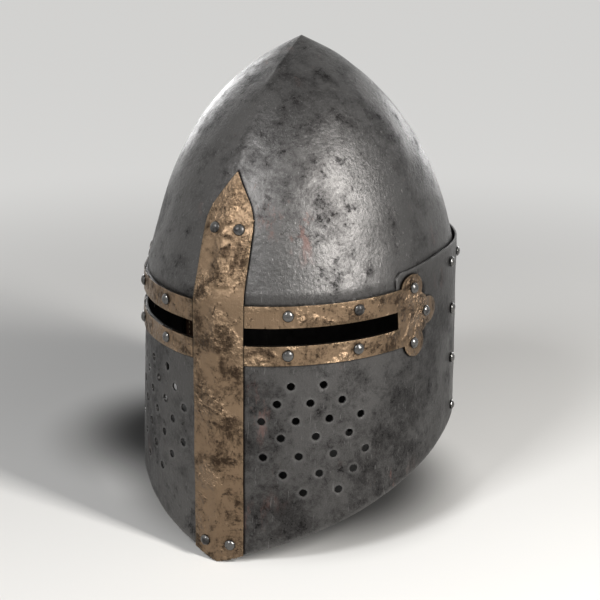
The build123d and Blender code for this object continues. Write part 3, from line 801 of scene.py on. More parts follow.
def mirror_loop(points):
    """Closed outline from its left half, which starts and ends at the keel"""
    right = [(-x, y) for x, y in points[::-1]]
    return np.array(list(points) + right)


def rim_corner(depth):
    """Height of the slanted rim at a distance behind the front"""
    return float(rim_heights(run_at_depth(np.array([depth]), np.array([CORNER_LEVEL])))[0])


def wall_line(depths, heights):
    """Flat points at distances behind the front and at heights"""
    depths, heights = np.broadcast_arrays(depths, heights)
    return list(zip(run_at_depth(depths, heights), heights))


def seam_line(edge, low, high):
    """Upright line on the wall at a distance behind the front"""
    return wall_line(edge, np.linspace(low, high, 60))


def face_outline():
    """Face plate, with a step at each side of its top"""
    runs = np.linspace(0, float(run_at_depth(SEAM_EDGE, CORNER_LEVEL)), 160)
    bottom = list(zip(runs, rim_heights(runs)))
    side = seam_line(SEAM_EDGE, bottom[-1][1], SIDE_TOP)[1:]
    top = wall_line(np.linspace(SEAM_EDGE, SIDE_TOP_START, 20)[1:], SIDE_TOP)
    shoulder = (STEP + STEP_SHOULDER[0], STEP_SHOULDER[1])
    rise = (STEP, FACE_TOP + STEP_STRAIGHT)
    reach = ((shoulder[0] - rise[0])**2 + (shoulder[1] - rise[1])**2) / (2 * (shoulder[0] - rise[0]))
    swing = math.atan2(shoulder[1] - rise[1], rise[0] + reach - shoulder[0])
    bend = [(rise[0] + reach * (1 - math.cos(a)), rise[1] + reach * math.sin(a))
            for a in np.linspace(swing, 0, 14)]
    slope = [(blend(SIDE_TOP_START, shoulder[0], s), blend(SIDE_TOP, shoulder[1], s))
             for s in np.linspace(0, 1, 20)]
    drawn = slope[1:] + bend[1:] + [(STEP, FACE_TOP + STEP_STRAIGHT / 2), (STEP, FACE_TOP)]
    stair = wall_line(*np.array(drawn).T)
    level = wall_line(np.linspace(STEP, LEVEL_END, 60)[1:], FACE_TOP)
    return mirror_loop(bottom + side + top + stair + level)


def sight_outline():
    """Left eye slit, from under the keel bar to its end at the side"""
    heights = np.linspace(SIGHT_FOOT, SIGHT_TOP, 8)
    start = list(zip(run_at_side(SIGHT_START, heights[::-1]), heights[::-1]))
    end = wall_line(SIGHT_END, heights)
    low_runs = np.linspace(start[-1][0], end[0][0], 50)[1:-1]
    high_runs = np.linspace(end[-1][0], start[0][0], 50)[1:-1]
    low = [(run, SIGHT_FOOT) for run in low_runs]
    high = [(run, SIGHT_TOP) for run in high_runs]
    return np.array(start + low + end + high)


def mirrored(loop):
    """Mirror image of a flat outline, with the same sense of turning"""
    return loop[::-1] * (-1, 1)


def breath_runs():
    """Runs and heights of the left cheek's breaths, row by row"""
    places = []
    for height, first, pitch, count in zip(BREATH_HEIGHTS, BREATH_FIRSTS, BREATH_PITCHES, BREATH_COUNTS):
        for i in range(count):
            places.append((float(run_of_length((first + i * pitch) * MM, height * MM)), height * MM))
    return places


def run_stretch(height):
    """Length of the reference outline for a length of the wall's nose arc at a height"""
    return float(REFERENCE.nose_radius / wall_section(height).nose_radius)


def clover_centre():
    """Run of the clover's middle on the left side"""
    return float(run_of_length(CLOVER_RUN, CLOVER_HEIGHT))


def clover_loops():
    """Shapes that together make the left sight band, as flat outlines"""
    edges = np.array([BAND_FOOT, BAND_TOP])
    ends = run_at_depth(SIGHT_END + ARM_OVERLAP, edges)
    starts = run_at_side(BAR_HALF + BAND_GAP, edges)
    arm = np.array([(starts[0], BAND_FOOT), (ends[0], BAND_FOOT), (ends[1], BAND_TOP), (starts[1], BAND_TOP)])
    centre = clover_centre()
    neck_out, neck_rise = CLOVER_NECK
    root = centre - CLOVER_ROOT
    body = np.array([(root, BAND_FOOT), (centre, BAND_FOOT), (centre + neck_out, CLOVER_HEIGHT - neck_rise),
                     (centre + neck_out, CLOVER_HEIGHT + neck_rise), (centre, BAND_TOP), (root, BAND_TOP)])
    lobes = [circle((centre + out, CLOVER_HEIGHT + rise), CLOVER_LOBE, 40) for out, rise in CLOVER_LOBES]
    return [arm, body] + lobes


def painted_shade_by_brass(flat):
    """Painted shade on the wall beside the brass, from 1 at its edge to 0"""
    away = np.stack([np.abs(flat[:, 0]), flat[:, 1]], axis=-1)
    bar = away[:, 0] - run_at_side(BAR_HALF, away[:, 1])
    centre = clover_centre()
    ends = centre - CLOVER_ROOT
    arm_out = np.maximum(away[:, 0] - ends, np.maximum(BAND_FOOT - away[:, 1], away[:, 1] - BAND_TOP))
    body_out = np.maximum(away[:, 0] - centre - CLOVER_NECK[0],
                          np.abs(away[:, 1] - CLOVER_HEIGHT) - CLOVER_RISE)
    gaps = [bar, arm_out, body_out]
    for out, rise in CLOVER_LOBES:
        gaps.append(np.hypot(away[:, 0] - centre - out, away[:, 1] - CLOVER_HEIGHT - rise) - CLOVER_LOBE)
    return np.clip(1 - np.min(gaps, axis=0) / SHADE_WIDTH, 0, 1)


def shade_edge_lines():
    """Lines beside the brass that the face plate's points follow, so that the painted shade there has crisp
    edges
    """
    lines = []
    centre = clover_centre()
    for gap in (0.1 * MM, SHADE_WIDTH + 0.1 * MM):
        heights = np.linspace(12 * MM, SIGHT_FOOT - 2 * MM, 70)
        upright = np.stack([run_at_side(BAR_HALF, heights) + gap, heights], axis=-1)
        start = float(run_at_side(BAR_HALF, BAND_FOOT)) + 2 * MM
        level = np.array([(start, BAND_FOOT - gap), (centre - CLOVER_LOBE - 2.5 * MM, BAND_FOOT - gap)])
        arcs = []
        for (out, rise), (start_turn, end_turn) in CLOVER_LOBES.items():
            turn = np.radians(np.linspace(start_turn, end_turn, 30))
            arcs.append(np.stack([centre + out + (CLOVER_LOBE + gap) * np.cos(turn),
                                  CLOVER_HEIGHT + rise + (CLOVER_LOBE + gap) * np.sin(turn)], axis=-1))
        for line in [upright, level] + arcs:
            lines += [line, line * (-1, 1)]
    return lines


def bar_outline():
    """Keel bar seen from straight ahead"""
    sides = np.linspace(0, BAR_HALF, 14)
    heights = np.zeros(14)
    for _ in range(8):
        depth = keel_point(sides, heights)[:, 1] - FRONT
        heights = FOOT_CLIMB_OUT * sides + FOOT_CLIMB_BACK * (depth + BRASS / math.cos(NOSE_ANGLE))
    bottom = list(zip(sides, heights))
    arc = three_point_arc(BAR_SHOULDER, BAR_ROUND, BAR_BEND, 16)
    return mirror_loop(bottom + [(BAR_HALF, FACE_TOP)] + arc + [BAR_TIP])


def three_point_arc(start, middle, end, count):
    """Points on the circle through three points"""
    (ax, ay), (bx, by), (cx, cy) = start, middle, end
    scale = 2 * (ax * (by - cy) + bx * (cy - ay) + cx * (ay - by))
    squares = [x * x + y * y for x, y in (start, middle, end)]
    ux = (squares[0] * (by - cy) + squares[1] * (cy - ay) + squares[2] * (ay - by)) / scale
    uy = (squares[0] * (cx - bx) + squares[1] * (ax - cx) + squares[2] * (bx - ax)) / scale
    turns = np.unwrap([math.atan2(y - uy, x - ux) for x, y in (start, middle, end)])
    radius = math.hypot(ax - ux, ay - uy)
    return [(ux + radius * math.cos(turn), uy + radius * math.sin(turn))
            for turn in np.linspace(turns[0], turns[-1], count)]


def back_outline():
    """Back plate from its left edge round to its right edge"""
    edge = SEAM_EDGE + SEAT
    arch = three_point_arc((SEAM_EDGE, rim_corner(edge)), RIM_ARCH, (RIM_FOOT, 0), 60)
    bottom = wall_line(*np.array([p for p in arch if p[0] > edge]).T)
    side = seam_line(edge, SIDE_TOP, bottom[0][1])[:-1]
    level = [(run, 0) for run in np.linspace(bottom[-1][0], HALF_RUN, 30)[1:]]
    left = side + bottom + level
    right = [(2 * HALF_RUN - run, height) for run, height in left[::-1]][1:]
    return np.array(left + right)


# ---------- places of rivets ----------

def place_of(point_at, u, v, lift=0.0):
    """Origin and outward direction on a surface"""
    normal = directions(point_at, u, v, 0.1 * MM)[0]
    return point_at(u, v).reshape(3) + normal * lift, normal


def at_seam(height):
    """Origin and outward direction on the left side seam"""
    return place_of(wall_point, float(run_at_depth(SEAM, height)), height)


def both_sides(places):
    """Places and their mirror images"""
    flip = np.array((-1, 1, 1))
    return places + [(origin * flip, normal * flip, grip) for origin, normal, grip in places]


def rivet_places():
    """Origin, outward direction and grip of every rivet of the helm"""
    plates = BRASS + STEEL
    lining = STEEL + SEAT + LEATHER + LINING_SLACK + WASHER
    places = []

    def on_band(along, height, grip):
        run = float(run_of_length(along, height))
        places.append((*place_of(wall_point, run, height, BRASS), grip))

    for along in BAND_RIVET_RUNS:
        on_band(along, UPPER_RIVETS, plates + lining)
        on_band(along, LOWER_RIVETS, plates)
    on_band(CLOVER_RUN, CLOVER_HEIGHT + CLOVER_RISE, plates + lining)
    on_band(CLOVER_RUN, CLOVER_HEIGHT - CLOVER_RISE, plates)
    on_band(CLOVER_RUN + CLOVER_OUT, CLOVER_HEIGHT, plates)
    on_band(*BAR_LOW_RIVET, plates)
    places.append((*place_of(keel_point, *BAR_TOP_RIVET, BRASS), plates))
    places.append((*at_seam(SEAM_TOP_RIVET), STEEL + lining))
    places += [(*at_seam(height), 2 * STEEL) for height in SEAM_RIVETS]
    places = both_sides(places)
    for i in range(BACK_RIVETS):
        turn = BACK_RIVET_FIRST + i * (math.pi - 2 * BACK_RIVET_FIRST) / (BACK_RIVETS - 1)
        run = NOSE_RUN + CHEEK_RUN + turn / QUARTER * BACK_RUN
        places.append((*place_of(wall_point, run, BACK_RIVET_HEIGHT), STEEL + lining))
    return places


def strap_place():
    """Pivot of the left strap, the level outward direction there, and how far the wall leans up"""
    origin, normal = at_seam(STRAP_HEIGHT)
    lean = normal[2]
    normal[2] = 0
    return origin, normal / np.linalg.norm(normal), lean


# ---------- node graphs ----------

def maths(operation, turned=False):
    """Method of a link that adds a Math node"""

    def method(link, *others):
        values = (link, *others)
        return link.graph.maths(operation, *(values[::-1] if turned else values))

    return method


class Link:
    """Output socket of a node, with Python arithmetic that adds its Math nodes"""

    def __init__(self, graph, socket):
        self.graph = graph
        self.socket = socket

    __add__ = __radd__ = maths("ADD")
    __sub__ = maths("SUBTRACT")
    __rsub__ = maths("SUBTRACT", turned=True)
    __mul__ = __rmul__ = maths("MULTIPLY")
    __truediv__ = maths("DIVIDE")
    __pow__ = maths("POWER")
    __gt__ = maths("GREATER_THAN")
    sin = maths("SINE")
    cos = maths("COSINE")
    at_least = maths("MAXIMUM")
    at_most = maths("MINIMUM")

    def clamped(self):
        return self.at_least(0.0).at_most(1.0)


class Graph:
    """Adds nodes to a shader or geometry tree"""

    def __init__(self, tree):
        self.tree = tree

    def node(self, kind, settings=None, inputs=None, out=0):
        node = self.tree.nodes.new(kind)
        for name, value in (settings or {}).items():
            setattr(node, name, value)
        for key, value in (inputs or {}).items():
            socket = node.inputs[key]
            if isinstance(value, Link):
                self.tree.links.new(value.socket, socket)
            elif isinstance(value, list):
                for link in value:
                    self.tree.links.new(link.socket, socket)
            else:
                socket.default_value = value
        if not node.outputs:
            return node
        return Link(self, node.outputs[out])

    def output(self, link, name):
        return Link(self, link.socket.node.outputs[name])

    def maths(self, operation, *values):
        return self.node("ShaderNodeMath", {"operation": operation}, dict(enumerate(values)))

    def axes(self, vector):
        """The three numbers of a vector"""
        parts = self.node("ShaderNodeSeparateXYZ", None, {0: vector})
        return [self.output(parts, axis) for axis in "XYZ"]

    def distance(self, first, second):
        return self.node("ShaderNodeVectorMath", {"operation": "DISTANCE"}, {0: first, 1: second}, "Value")

    def scaled(self, vector, share):
        return self.node("ShaderNodeVectorMath", {"operation": "SCALE"}, {0: vector, "Scale": share})

    def named(self, name, kind):
        """Attribute of the geometry"""
        return self.node("GeometryNodeInputNamedAttribute", {"data_type": kind}, {"Name": name})

    def seen(self):
        """1 for what is seen straight, in a reflection or through glass, and 0 for what lights"""
        rays = self.node("ShaderNodeLightPath")
        camera, glossy, through = (self.output(rays, f"Is {kind} Ray")
                                   for kind in ("Camera", "Glossy", "Transmission"))
        return (camera + glossy + through).clamped()


class Shader(Graph):
    """Material with one Principled shader"""

    def __init__(self, name):
        self.material = bpy.data.materials.new(name)
        self.material.use_nodes = True
        super().__init__(self.material.node_tree)
        self.tree.nodes.clear()
        self.place = self.node("ShaderNodeTexCoord", out="Object")

    def mapped(self, scale, turn=(0, 0, 0)):
        return self.node("ShaderNodeMapping", None, {"Vector": self.place, "Scale": scale, "Rotation": turn})

    def noise(self, scale, detail=4.0, roughness=0.55, source=None, distortion=0.0):
        return self.node("ShaderNodeTexNoise", None,
                         {"Vector": source or self.place, "Scale": scale, "Detail": detail,
                          "Roughness": roughness, "Distortion": distortion}, "Fac")

    def cells(self, scale):
        return self.node("ShaderNodeTexVoronoi", None, {"Vector": self.place, "Scale": scale}, "Distance")

    def band(self, value, low, high):
        """0 below low, 1 above high, smooth between"""
        return self.node("ShaderNodeMapRange", {"interpolation_type": "SMOOTHSTEP"},
                         {"Value": value, "From Min": low, "From Max": high})

    def mix(self, share, first, second):
        return self.node("ShaderNodeMix", {"data_type": "RGBA"}, {0: share, 6: first, 7: second}, 2)

    def attribute(self, name):
        return self.node("ShaderNodeAttribute", {"attribute_name": name}, None, "Fac")

    def bump(self, height, strength, distance):
        return self.node("ShaderNodeBump", None,
                         {"Height": height, "Strength": strength, "Distance": distance})

    def finish(self, **inputs):
        named = {name.replace("_", " "): value for name, value in inputs.items()}
        shader = self.node("ShaderNodeBsdfPrincipled", None, named)
        self.node("ShaderNodeOutputMaterial", None, {"Surface": shader})
        return self.material


def brightened(colour, share):
    """Colour times a share, which darkens it when it is under 1"""
    return tuple(min(1, value * share) for value in colour[:3]) + (1,)


def steel_material(colours):
    g = Shader("Blackened steel")
    clouds = g.noise(16, 6, 0.6, distortion=0.3)
    blotches = g.noise(62, 9, 0.74, distortion=0.25)
    smudges = g.noise(130, 9, 0.8)
    specks = g.noise(420, 6, 0.75)
    forged = g.noise(300, 4, 0.6)
    grain = g.noise(1100, 4, 0.65)
    nicks = g.band(g.noise(900, 2, 0.5, g.mapped((1, 1, 0.14), (0.3, 0.5, 0))), 0.66, 0.74)
    fine = g.noise(640, 3, 0.6, g.mapped((1, 1, 0.08), (0.1, 0.2, 0)))
    shade = g.band(g.noise(7, 3), 0.35, 0.65)
    dark = g.band(clouds * 0.4 + blotches * 0.35 + smudges * 0.25, 0.45, 0.58)
    black = g.band(blotches * 0.4 + smudges * 0.35 + specks * 0.25, 0.53, 0.6)
    streaks = g.noise(42, 6, 0.75, g.mapped((1, 1, 0.35)))
    rust = g.band(streaks, 0.57, 0.68) * g.band(g.noise(13, 2), 0.5, 0.62)
    worn = g.attribute("worn") * g.band(blotches, 0.3, 0.6)
    darkening = (dark * 0.62 + black * 0.34 + shade * 0.2 + (grain - 0.5) * 0.9).clamped()
    tint = g.mix(darkening, colours.steel, colours.steel_dark)
    tint = g.mix(rust * 0.45, tint, colours.rust)
    tint = g.mix((worn * 0.3 + nicks * 0.25).clamped(), tint, BRIGHT_STEEL)
    across, depth, height = g.axes(g.place)
    # painted shadow: a dark line on the dome beside the keel bar's head, in front of the middle
    taper = BAR_BEND[0] / (BAR_TIP[1] - BAR_BEND[1])
    bar_edge = g.maths("SMOOTH_MIN", (BAR_TIP[1] - height) * taper, BAR_SHOULDER[0], 12 * MM)
    gap = g.maths("ABSOLUTE", across) - bar_edge
    in_front = -1 * depth > IN_FRONT
    painted_bar_shadow = (1 - g.band(gap, 0.4 * MM, 2.4 * MM)) * (height > FACE_TOP + 1 * MM) * in_front
    # painted shade: the plates behind the middle and below the dome are darkened, standing in for darker
    # reflections
    behind = g.band(depth, -60 * MM, 0) * (1 - g.band(height, 195 * MM, 225 * MM))
    tint = g.mix(behind * 0.4, tint, colours.steel_dark)
    # painted shade beside the brass and the painted shadow line beside the keel bar, both near black
    tint = g.mix((g.attribute("grime") ** 0.7 + painted_bar_shadow).clamped(), tint, SHADE_BLACK)
    # painted shade: faces inside the helm and faces that look down are painted near black
    inside = g.attribute("inside")
    tint = g.mix(inside * 0.92, tint, SHADE_BLACK)
    rough = 0.26 + dark * 0.11 + black * 0.14 + fine * 0.1 + grain * 0.1 + rust * 0.15
    rough = (rough + inside * 0.3 - worn * 0.08).clamped()
    relief = forged * 0.9 + grain * 0.3 + fine * 0.2 + smudges * 0.5 - black * 0.25 - nicks * 0.2
    metal = (1 - rust * 0.5 - inside * 0.3).clamped()
    return g.finish(Base_Color=tint, Metallic=metal, Roughness=rough, Normal=g.bump(relief, 0.5, 0.001))


def brass_material(colours):
    g = Shader("Aged brass")
    clouds = g.noise(38, 7, 0.66, distortion=0.6)
    blotches = g.noise(120, 8, 0.72, distortion=0.6)
    specks = g.noise(420, 5, 0.7)
    rough_spots = g.band(g.noise(30, 3), 0.46, 0.6)
    brushed = g.noise(480, 3, 0.6, g.mapped((1, 1, 0.05)))
    dents = g.noise(330, 3, 0.6)
    brown = g.band(clouds * 0.45 + blotches * 0.35 + specks * 0.2, 0.46, 0.57)
    spots = g.band(blotches * 0.4 + specks * 0.6, 0.55, 0.62)
    worn = g.attribute("worn")
    side, depth, height = g.axes(g.place)
    across = g.maths("ABSOLUTE", side)
    # the brass is darker towards the far sides and towards the bottom
    sides = g.band(across, 85 * MM, 108 * MM)
    # painted shadow: a dark line on the bands just beside the keel bar, in front of the middle
    painted_bar_shadow = (across > BAR_HALF + 0.4 * MM) * (1 - g.band(across, BAR_HALF + 0.6 * MM, BAR_HALF + 1.9 * MM))
    painted_bar_shadow = painted_bar_shadow * (-1 * depth > IN_FRONT)
    low = 1 - g.band(height, 0, 160 * MM)
    darkening = (brown * 0.74 + spots * 0.5 + (clouds - 0.45) * 0.9 + sides * 0.34 + low * 0.22).clamped()
    tint = g.mix(darkening, colours.brass, colours.patina)
    tint = g.mix((worn * 0.14 * g.band(blotches, 0.4, 0.6)).clamped(), tint, BRIGHT_BRASS)
    # painted shade: the narrow edge faces of the brass and the painted shadow line beside the keel bar are
    # near black
    tint = g.mix((g.attribute("rim") * 0.9 + painted_bar_shadow * 0.9).clamped(), tint, BRASS_EDGE_SHADE)
    rough = 0.26 + brown * 0.22 + specks * 0.12 + brushed * 0.1 - rough_spots * 0.06
    relief = dents * (rough_spots * 2.5 + 0.3) + brushed * 0.3 + blotches * 0.5 - spots * 0.35
    return g.finish(Base_Color=tint, Metallic=1.0, Roughness=rough.clamped(),
                    Normal=g.bump(relief, 0.8, 0.0013))


def rivet_material(colours):
    g = Shader("Rivet iron")
    clouds = g.noise(130, 4, 0.6)
    grain = g.noise(900, 3, 0.6)
    dark = g.band(clouds, 0.45, 0.66)
    tint = g.mix(dark * 0.8, colours.rivet, colours.steel_dark)
    # painted shade: a dark ring at the foot of each rivet head
    tint = g.mix(g.band(g.attribute("rim"), 0.5, 0.85) * 0.9, tint, RIVET_FOOT_SHADE)
    return g.finish(Base_Color=tint, Metallic=1.0, Roughness=0.2 + dark * 0.16 + grain * 0.08,
                    Normal=g.bump(clouds * 0.8 + grain * 0.2, 0.25, 0.0004))


def leather_material(name, base):
    g = Shader(name)
    cells = g.cells(620)
    creases = g.noise(90, 5, 0.6)
    shade = g.noise(22, 4)
    tint = g.mix(g.band(shade, 0.35, 0.7), base, brightened(base, 0.55))
    tint = g.mix(g.band(creases, 0.6, 0.75) * 0.4, tint, brightened(base, 1.7))
    return g.finish(Base_Color=tint, Roughness=0.52 + creases * 0.2, Specular_IOR_Level=0.35,
                    Normal=g.bump(cells * 0.6 + creases * 0.6, 0.35, 0.0005))


def linen_material(colours):
    g = Shader("Quilted linen")
    threads = (g.attribute("weave_across") * 5200).sin() * (g.axes(g.place)[2] * 5200).sin()
    slubs = g.noise(300, 3, 0.6)
    shade = g.noise(18, 4)
    tint = g.mix(g.band(shade, 0.35, 0.75) * 0.5, colours.linen, SOILED_LINEN)
    tint = g.mix(g.band(threads, 0.2, 0.9) * 0.25, tint, BRIGHT_LINEN)
    return g.finish(Base_Color=tint, Roughness=0.9, Specular_IOR_Level=0.15,
                    Normal=g.bump(threads * 0.5 + slubs * 0.5, 0.4, 0.0004))


def thread_material(colours):
    g = Shader("Waxed thread")
    twist = g.noise(1500, 2)
    tint = g.mix(g.band(twist, 0.4, 0.7), colours.thread, brightened(colours.thread, 0.6))
    return g.finish(Base_Color=tint, Roughness=0.6, Normal=g.bump(twist, 0.3, 0.0002))


def floor_material(colours):
    g = Shader("Studio floor")
    faint = g.noise(3, 3)
    tint = g.mix(g.band(faint, 0.3, 0.8) * 0.08, colours.floor, FLOOR_SHADE)
    # painted shadow: the floor is painted near black under the helm and in a spot behind its left side
    bright, behind = (g.band(g.distance(g.place, middle), low, high) for middle, low, high in PAINTED_SHADOW_SPOTS)
    tint = g.mix((1 - bright * behind) * 0.94, tint, FLOOR_SHADOW_BLACK)
    surface = g.node("ShaderNodeBsdfPrincipled", None,
                     {"Base Color": tint, "Roughness": 0.9, "Specular IOR Level": 0.0})
    pale = g.node("ShaderNodeEmission", None, {"Color": colours.floor, "Strength": 1.0})
    share = g.seen() * g.band(g.distance(g.place, (0, 0, 0)), 0.3, 1.3) * 0.85
    mixed = g.node("ShaderNodeMixShader", None, {0: share, 1: surface, 2: pale})
    g.node("ShaderNodeOutputMaterial", None, {"Surface": mixed})
    return g.material


shared = {}


def need(name, make, *inputs):
    """Material or tree that is made once and then shared"""
    if name not in shared:
        shared[name] = make(*inputs)
    return shared[name]


# ---------- repeats by Geometry Nodes ----------

def geometry_tree(name, *numbers):
    """New geometry tree with a geometry input and output, named numbers, a seed and a material"""
    tree = bpy.data.node_groups.new(name, "GeometryNodeTree")
    tree.interface.new_socket("Geometry", in_out="OUTPUT", socket_type="NodeSocketGeometry")
    inputs = [("Geometry", "Geometry")] + [(label, "Float") for label in numbers]
    for label, kind in inputs + [("Seed", "Int"), ("Material", "Material")]:
        tree.interface.new_socket(label, in_out="INPUT", socket_type="NodeSocket" + kind)
    graph = Graph(tree)
    source = tree.nodes.new("NodeGroupInput")
    return graph, lambda label: Link(graph, source.outputs[label])


def run_tree(obj, tree, values):
    """Runs a geometry tree on an object with its inputs set, and keeps the plain mesh"""
    modifier = obj.modifiers.new(tree.name, "NODES")
    modifier.node_group = tree
    for item in tree.interface.items_tree:
        if item.in_out == "INPUT" and item.name in values:
            modifier[item.identifier] = values[item.name]
    return applied(obj)


def domed_cap(graph, radius, rise, around, up):
    """Shallow round cap with a sunk foot: a grid whose columns go round and whose rows go inwards"""
    grid = graph.node("GeometryNodeMeshGrid", None,
                      {"Size X": 1.0, "Size Y": 1.0, "Vertices X": around + 1, "Vertices Y": up + 1})
    across, inwards, _ = graph.axes(graph.node("GeometryNodeInputPosition"))
    turn = (across + 0.5) * (2 * math.pi)
    share = inwards + 0.5
    foot = share > 0.01
    bow = share * QUARTER
    out = radius * bow.cos() * foot
    height = rise * bow.sin() + (foot - 1) * radius * 0.06
    where = graph.node("ShaderNodeCombineXYZ", None, {0: out * turn.cos(), 1: out * turn.sin(), 2: height})
    bent = graph.node("GeometryNodeSetPosition", None, {"Geometry": grid, "Position": where})
    merged = graph.node("GeometryNodeMergeByDistance", None, {"Geometry": bent, "Distance": 1e-5})
    # How near each point lies to the cap's foot, for the painted shade round the rivet heads
    high = graph.axes(graph.node("GeometryNodeInputPosition"))[2]
    return graph.node("GeometryNodeStoreNamedAttribute", {"data_type": "FLOAT", "domain": "POINT"},
                      {"Geometry": merged, "Name": "rim", "Value": 1 - high / rise})


def finished_tree(graph, geometry, material):
    """Realised, smooth geometry with a material, joined to the tree's output"""
    real = graph.node("GeometryNodeRealizeInstances", None, {"Geometry": geometry})
    round_shaded = graph.node("GeometryNodeSetShadeSmooth", None, {"Geometry": real})
    final = graph.node("GeometryNodeSetMaterial", None, {"Geometry": round_shaded, "Material": material})
    graph.node("NodeGroupOutput", None, {"Geometry": final})
    return graph.tree


def instanced(graph, points, shape, axis, seed, spread):
    """Copies of a shape on points, turned to a direction and spun at random about it"""
    aim = graph.node("FunctionNodeAlignRotationToVector", {"axis": "Z"}, {"Vector": axis})
    angle = graph.node("FunctionNodeRandomValue", {"data_type": "FLOAT"},
                       {2: 0.0, 3: 2 * math.pi, "Seed": seed}, 1)
    twist = graph.node("FunctionNodeAxisAngleToRotation", None, {"Axis": (0, 0, 1), "Angle": angle})
    turn = graph.node("FunctionNodeRotateRotation", {"rotation_space": "LOCAL"},
                      {"Rotation": aim, "Rotate By": twist})
    size = graph.node("FunctionNodeRandomValue", {"data_type": "FLOAT"},
                      {2: 1.0 - spread, 3: 1.0 + spread, "Seed": seed}, 1)
    return graph.node("GeometryNodeInstanceOnPoints", None,
                      {"Points": points, "Instance": shape, "Rotation": turn, "Scale": size})


def rivet_tree():
    """Round heads and hammered ends on points that carry an axis and a grip"""
    graph, given = geometry_tree("Helm rivets", "Head Radius", "Head Rise", "Peen Radius", "Peen Rise",
                                 "Unevenness")
    axis, grip = graph.named("axis", "FLOAT_VECTOR"), graph.named("grip", "FLOAT")
    head = domed_cap(graph, given("Head Radius"), given("Head Rise"), around=26, up=10)
    heads = instanced(graph, given("Geometry"), head, axis, given("Seed"), spread=0.03)
    sunk = graph.node("GeometryNodeSetPosition", None,
                      {"Geometry": given("Geometry"), "Offset": graph.scaled(axis, grip * -1.0)})
    peen = domed_cap(graph, given("Peen Radius"), given("Peen Rise"), around=18, up=6)
    peens = instanced(graph, sunk, peen, graph.scaled(axis, -1.0), given("Seed"), spread=0.06)
    both = graph.node("GeometryNodeJoinGeometry", None, {"Geometry": [heads, peens]})
    real = graph.node("GeometryNodeRealizeInstances", None, {"Geometry": both})
    place = graph.node("GeometryNodeInputPosition")
    dent = graph.node("ShaderNodeTexNoise", None, {"Vector": place, "Scale": 260.0, "Detail": 1.0}, "Fac")
    push = graph.scaled(graph.node("GeometryNodeInputNormal"), (dent - 0.5) * given("Unevenness"))
    worn = graph.node("GeometryNodeSetPosition", None, {"Geometry": real, "Offset": push})
    return finished_tree(graph, worn, given("Material"))


def lip_tree():
    """Thin raised burr round every breath"""
    graph, given = geometry_tree("Breath lips", "Radius", "Lip")
    ring = graph.node("GeometryNodeCurvePrimitiveCircle", None, {"Resolution": 26, "Radius": given("Radius")})
    profile = graph.node("GeometryNodeCurvePrimitiveCircle", None, {"Resolution": 6, "Radius": given("Lip")})
    burr = graph.node("GeometryNodeCurveToMesh", None, {"Curve": ring, "Profile Curve": profile})
    axis = graph.named("axis", "FLOAT_VECTOR")
    rings = instanced(graph, given("Geometry"), burr, axis, given("Seed"), spread=0.02)
    return finished_tree(graph, rings, given("Material"))


def stitch_tree():
    """Short slanted stitches along the edges of the given lines"""
    graph, given = geometry_tree("Stitches", "Pitch", "Thread", "Share")
    line = graph.node("GeometryNodeMeshToCurve", None, {"Mesh": given("Geometry")})
    points = graph.node("GeometryNodeCurveToPoints", {"mode": "LENGTH"},
                        {"Curve": line, "Length": given("Pitch")})
    thread = {"Segments": 8, "Rings": 6, "Radius": given("Thread")}
    ball = graph.node("GeometryNodeMeshUVSphere", None, thread)
    stretch = given("Pitch") * given("Share") / given("Thread") / 2
    longer = graph.node("ShaderNodeCombineXYZ", None, {0: 1.0, 1: 1.0, 2: stretch})
    capsule = graph.node("GeometryNodeTransform", None, {"Geometry": ball, "Scale": longer})
    along = graph.output(points, "Tangent")
    stitches = instanced(graph, points, capsule, along, given("Seed"), spread=0.05)
    return finished_tree(graph, stitches, given("Material"))


def point_cloud(name, places):
    """Loose points that carry an axis and a grip"""
    mesh = new_mesh(name, [origin for origin, _, _ in places], [])
    axis = mesh.attributes.new("axis", "FLOAT_VECTOR", "POINT")
    axis.data.foreach_set("vector", np.array([normal for _, normal, _ in places]).ravel())
    grip = mesh.attributes.new("grip", "FLOAT", "POINT")
    grip.data.foreach_set("value", [float(grip) for _, _, grip in places])
    return new_object(name, mesh)


def stitched(name, lines, body, sizes, material, slot):
    """Sewing along polylines, as one piece on a body"""
    points, edges = [], []
    for line in lines:
        first = len(points)
        points += list(line)
        edges += [(first + i, first + i + 1) for i in range(len(line) - 1)]
    obj = new_object(name, new_mesh(name, points, [], edges))
    run_tree(obj, need("stitch tree", stitch_tree),
             {"Pitch": sizes.stitch_pitch, "Thread": sizes.stitch_radius, "Share": 0.62, "Seed": 3,
              "Material": material})
    dress(obj, material, slot, body=body)


# ---------- operators ----------

class PieceOperator(bpy.types.Operator):
    """Common base of the helm's operators"""

    bl_options = {"REGISTER", "UNDO"}

    def execute(self, context):
        self.make(context.scene.helm_sizes, context.scene.helm_colours)
        return {"FINISHED"}


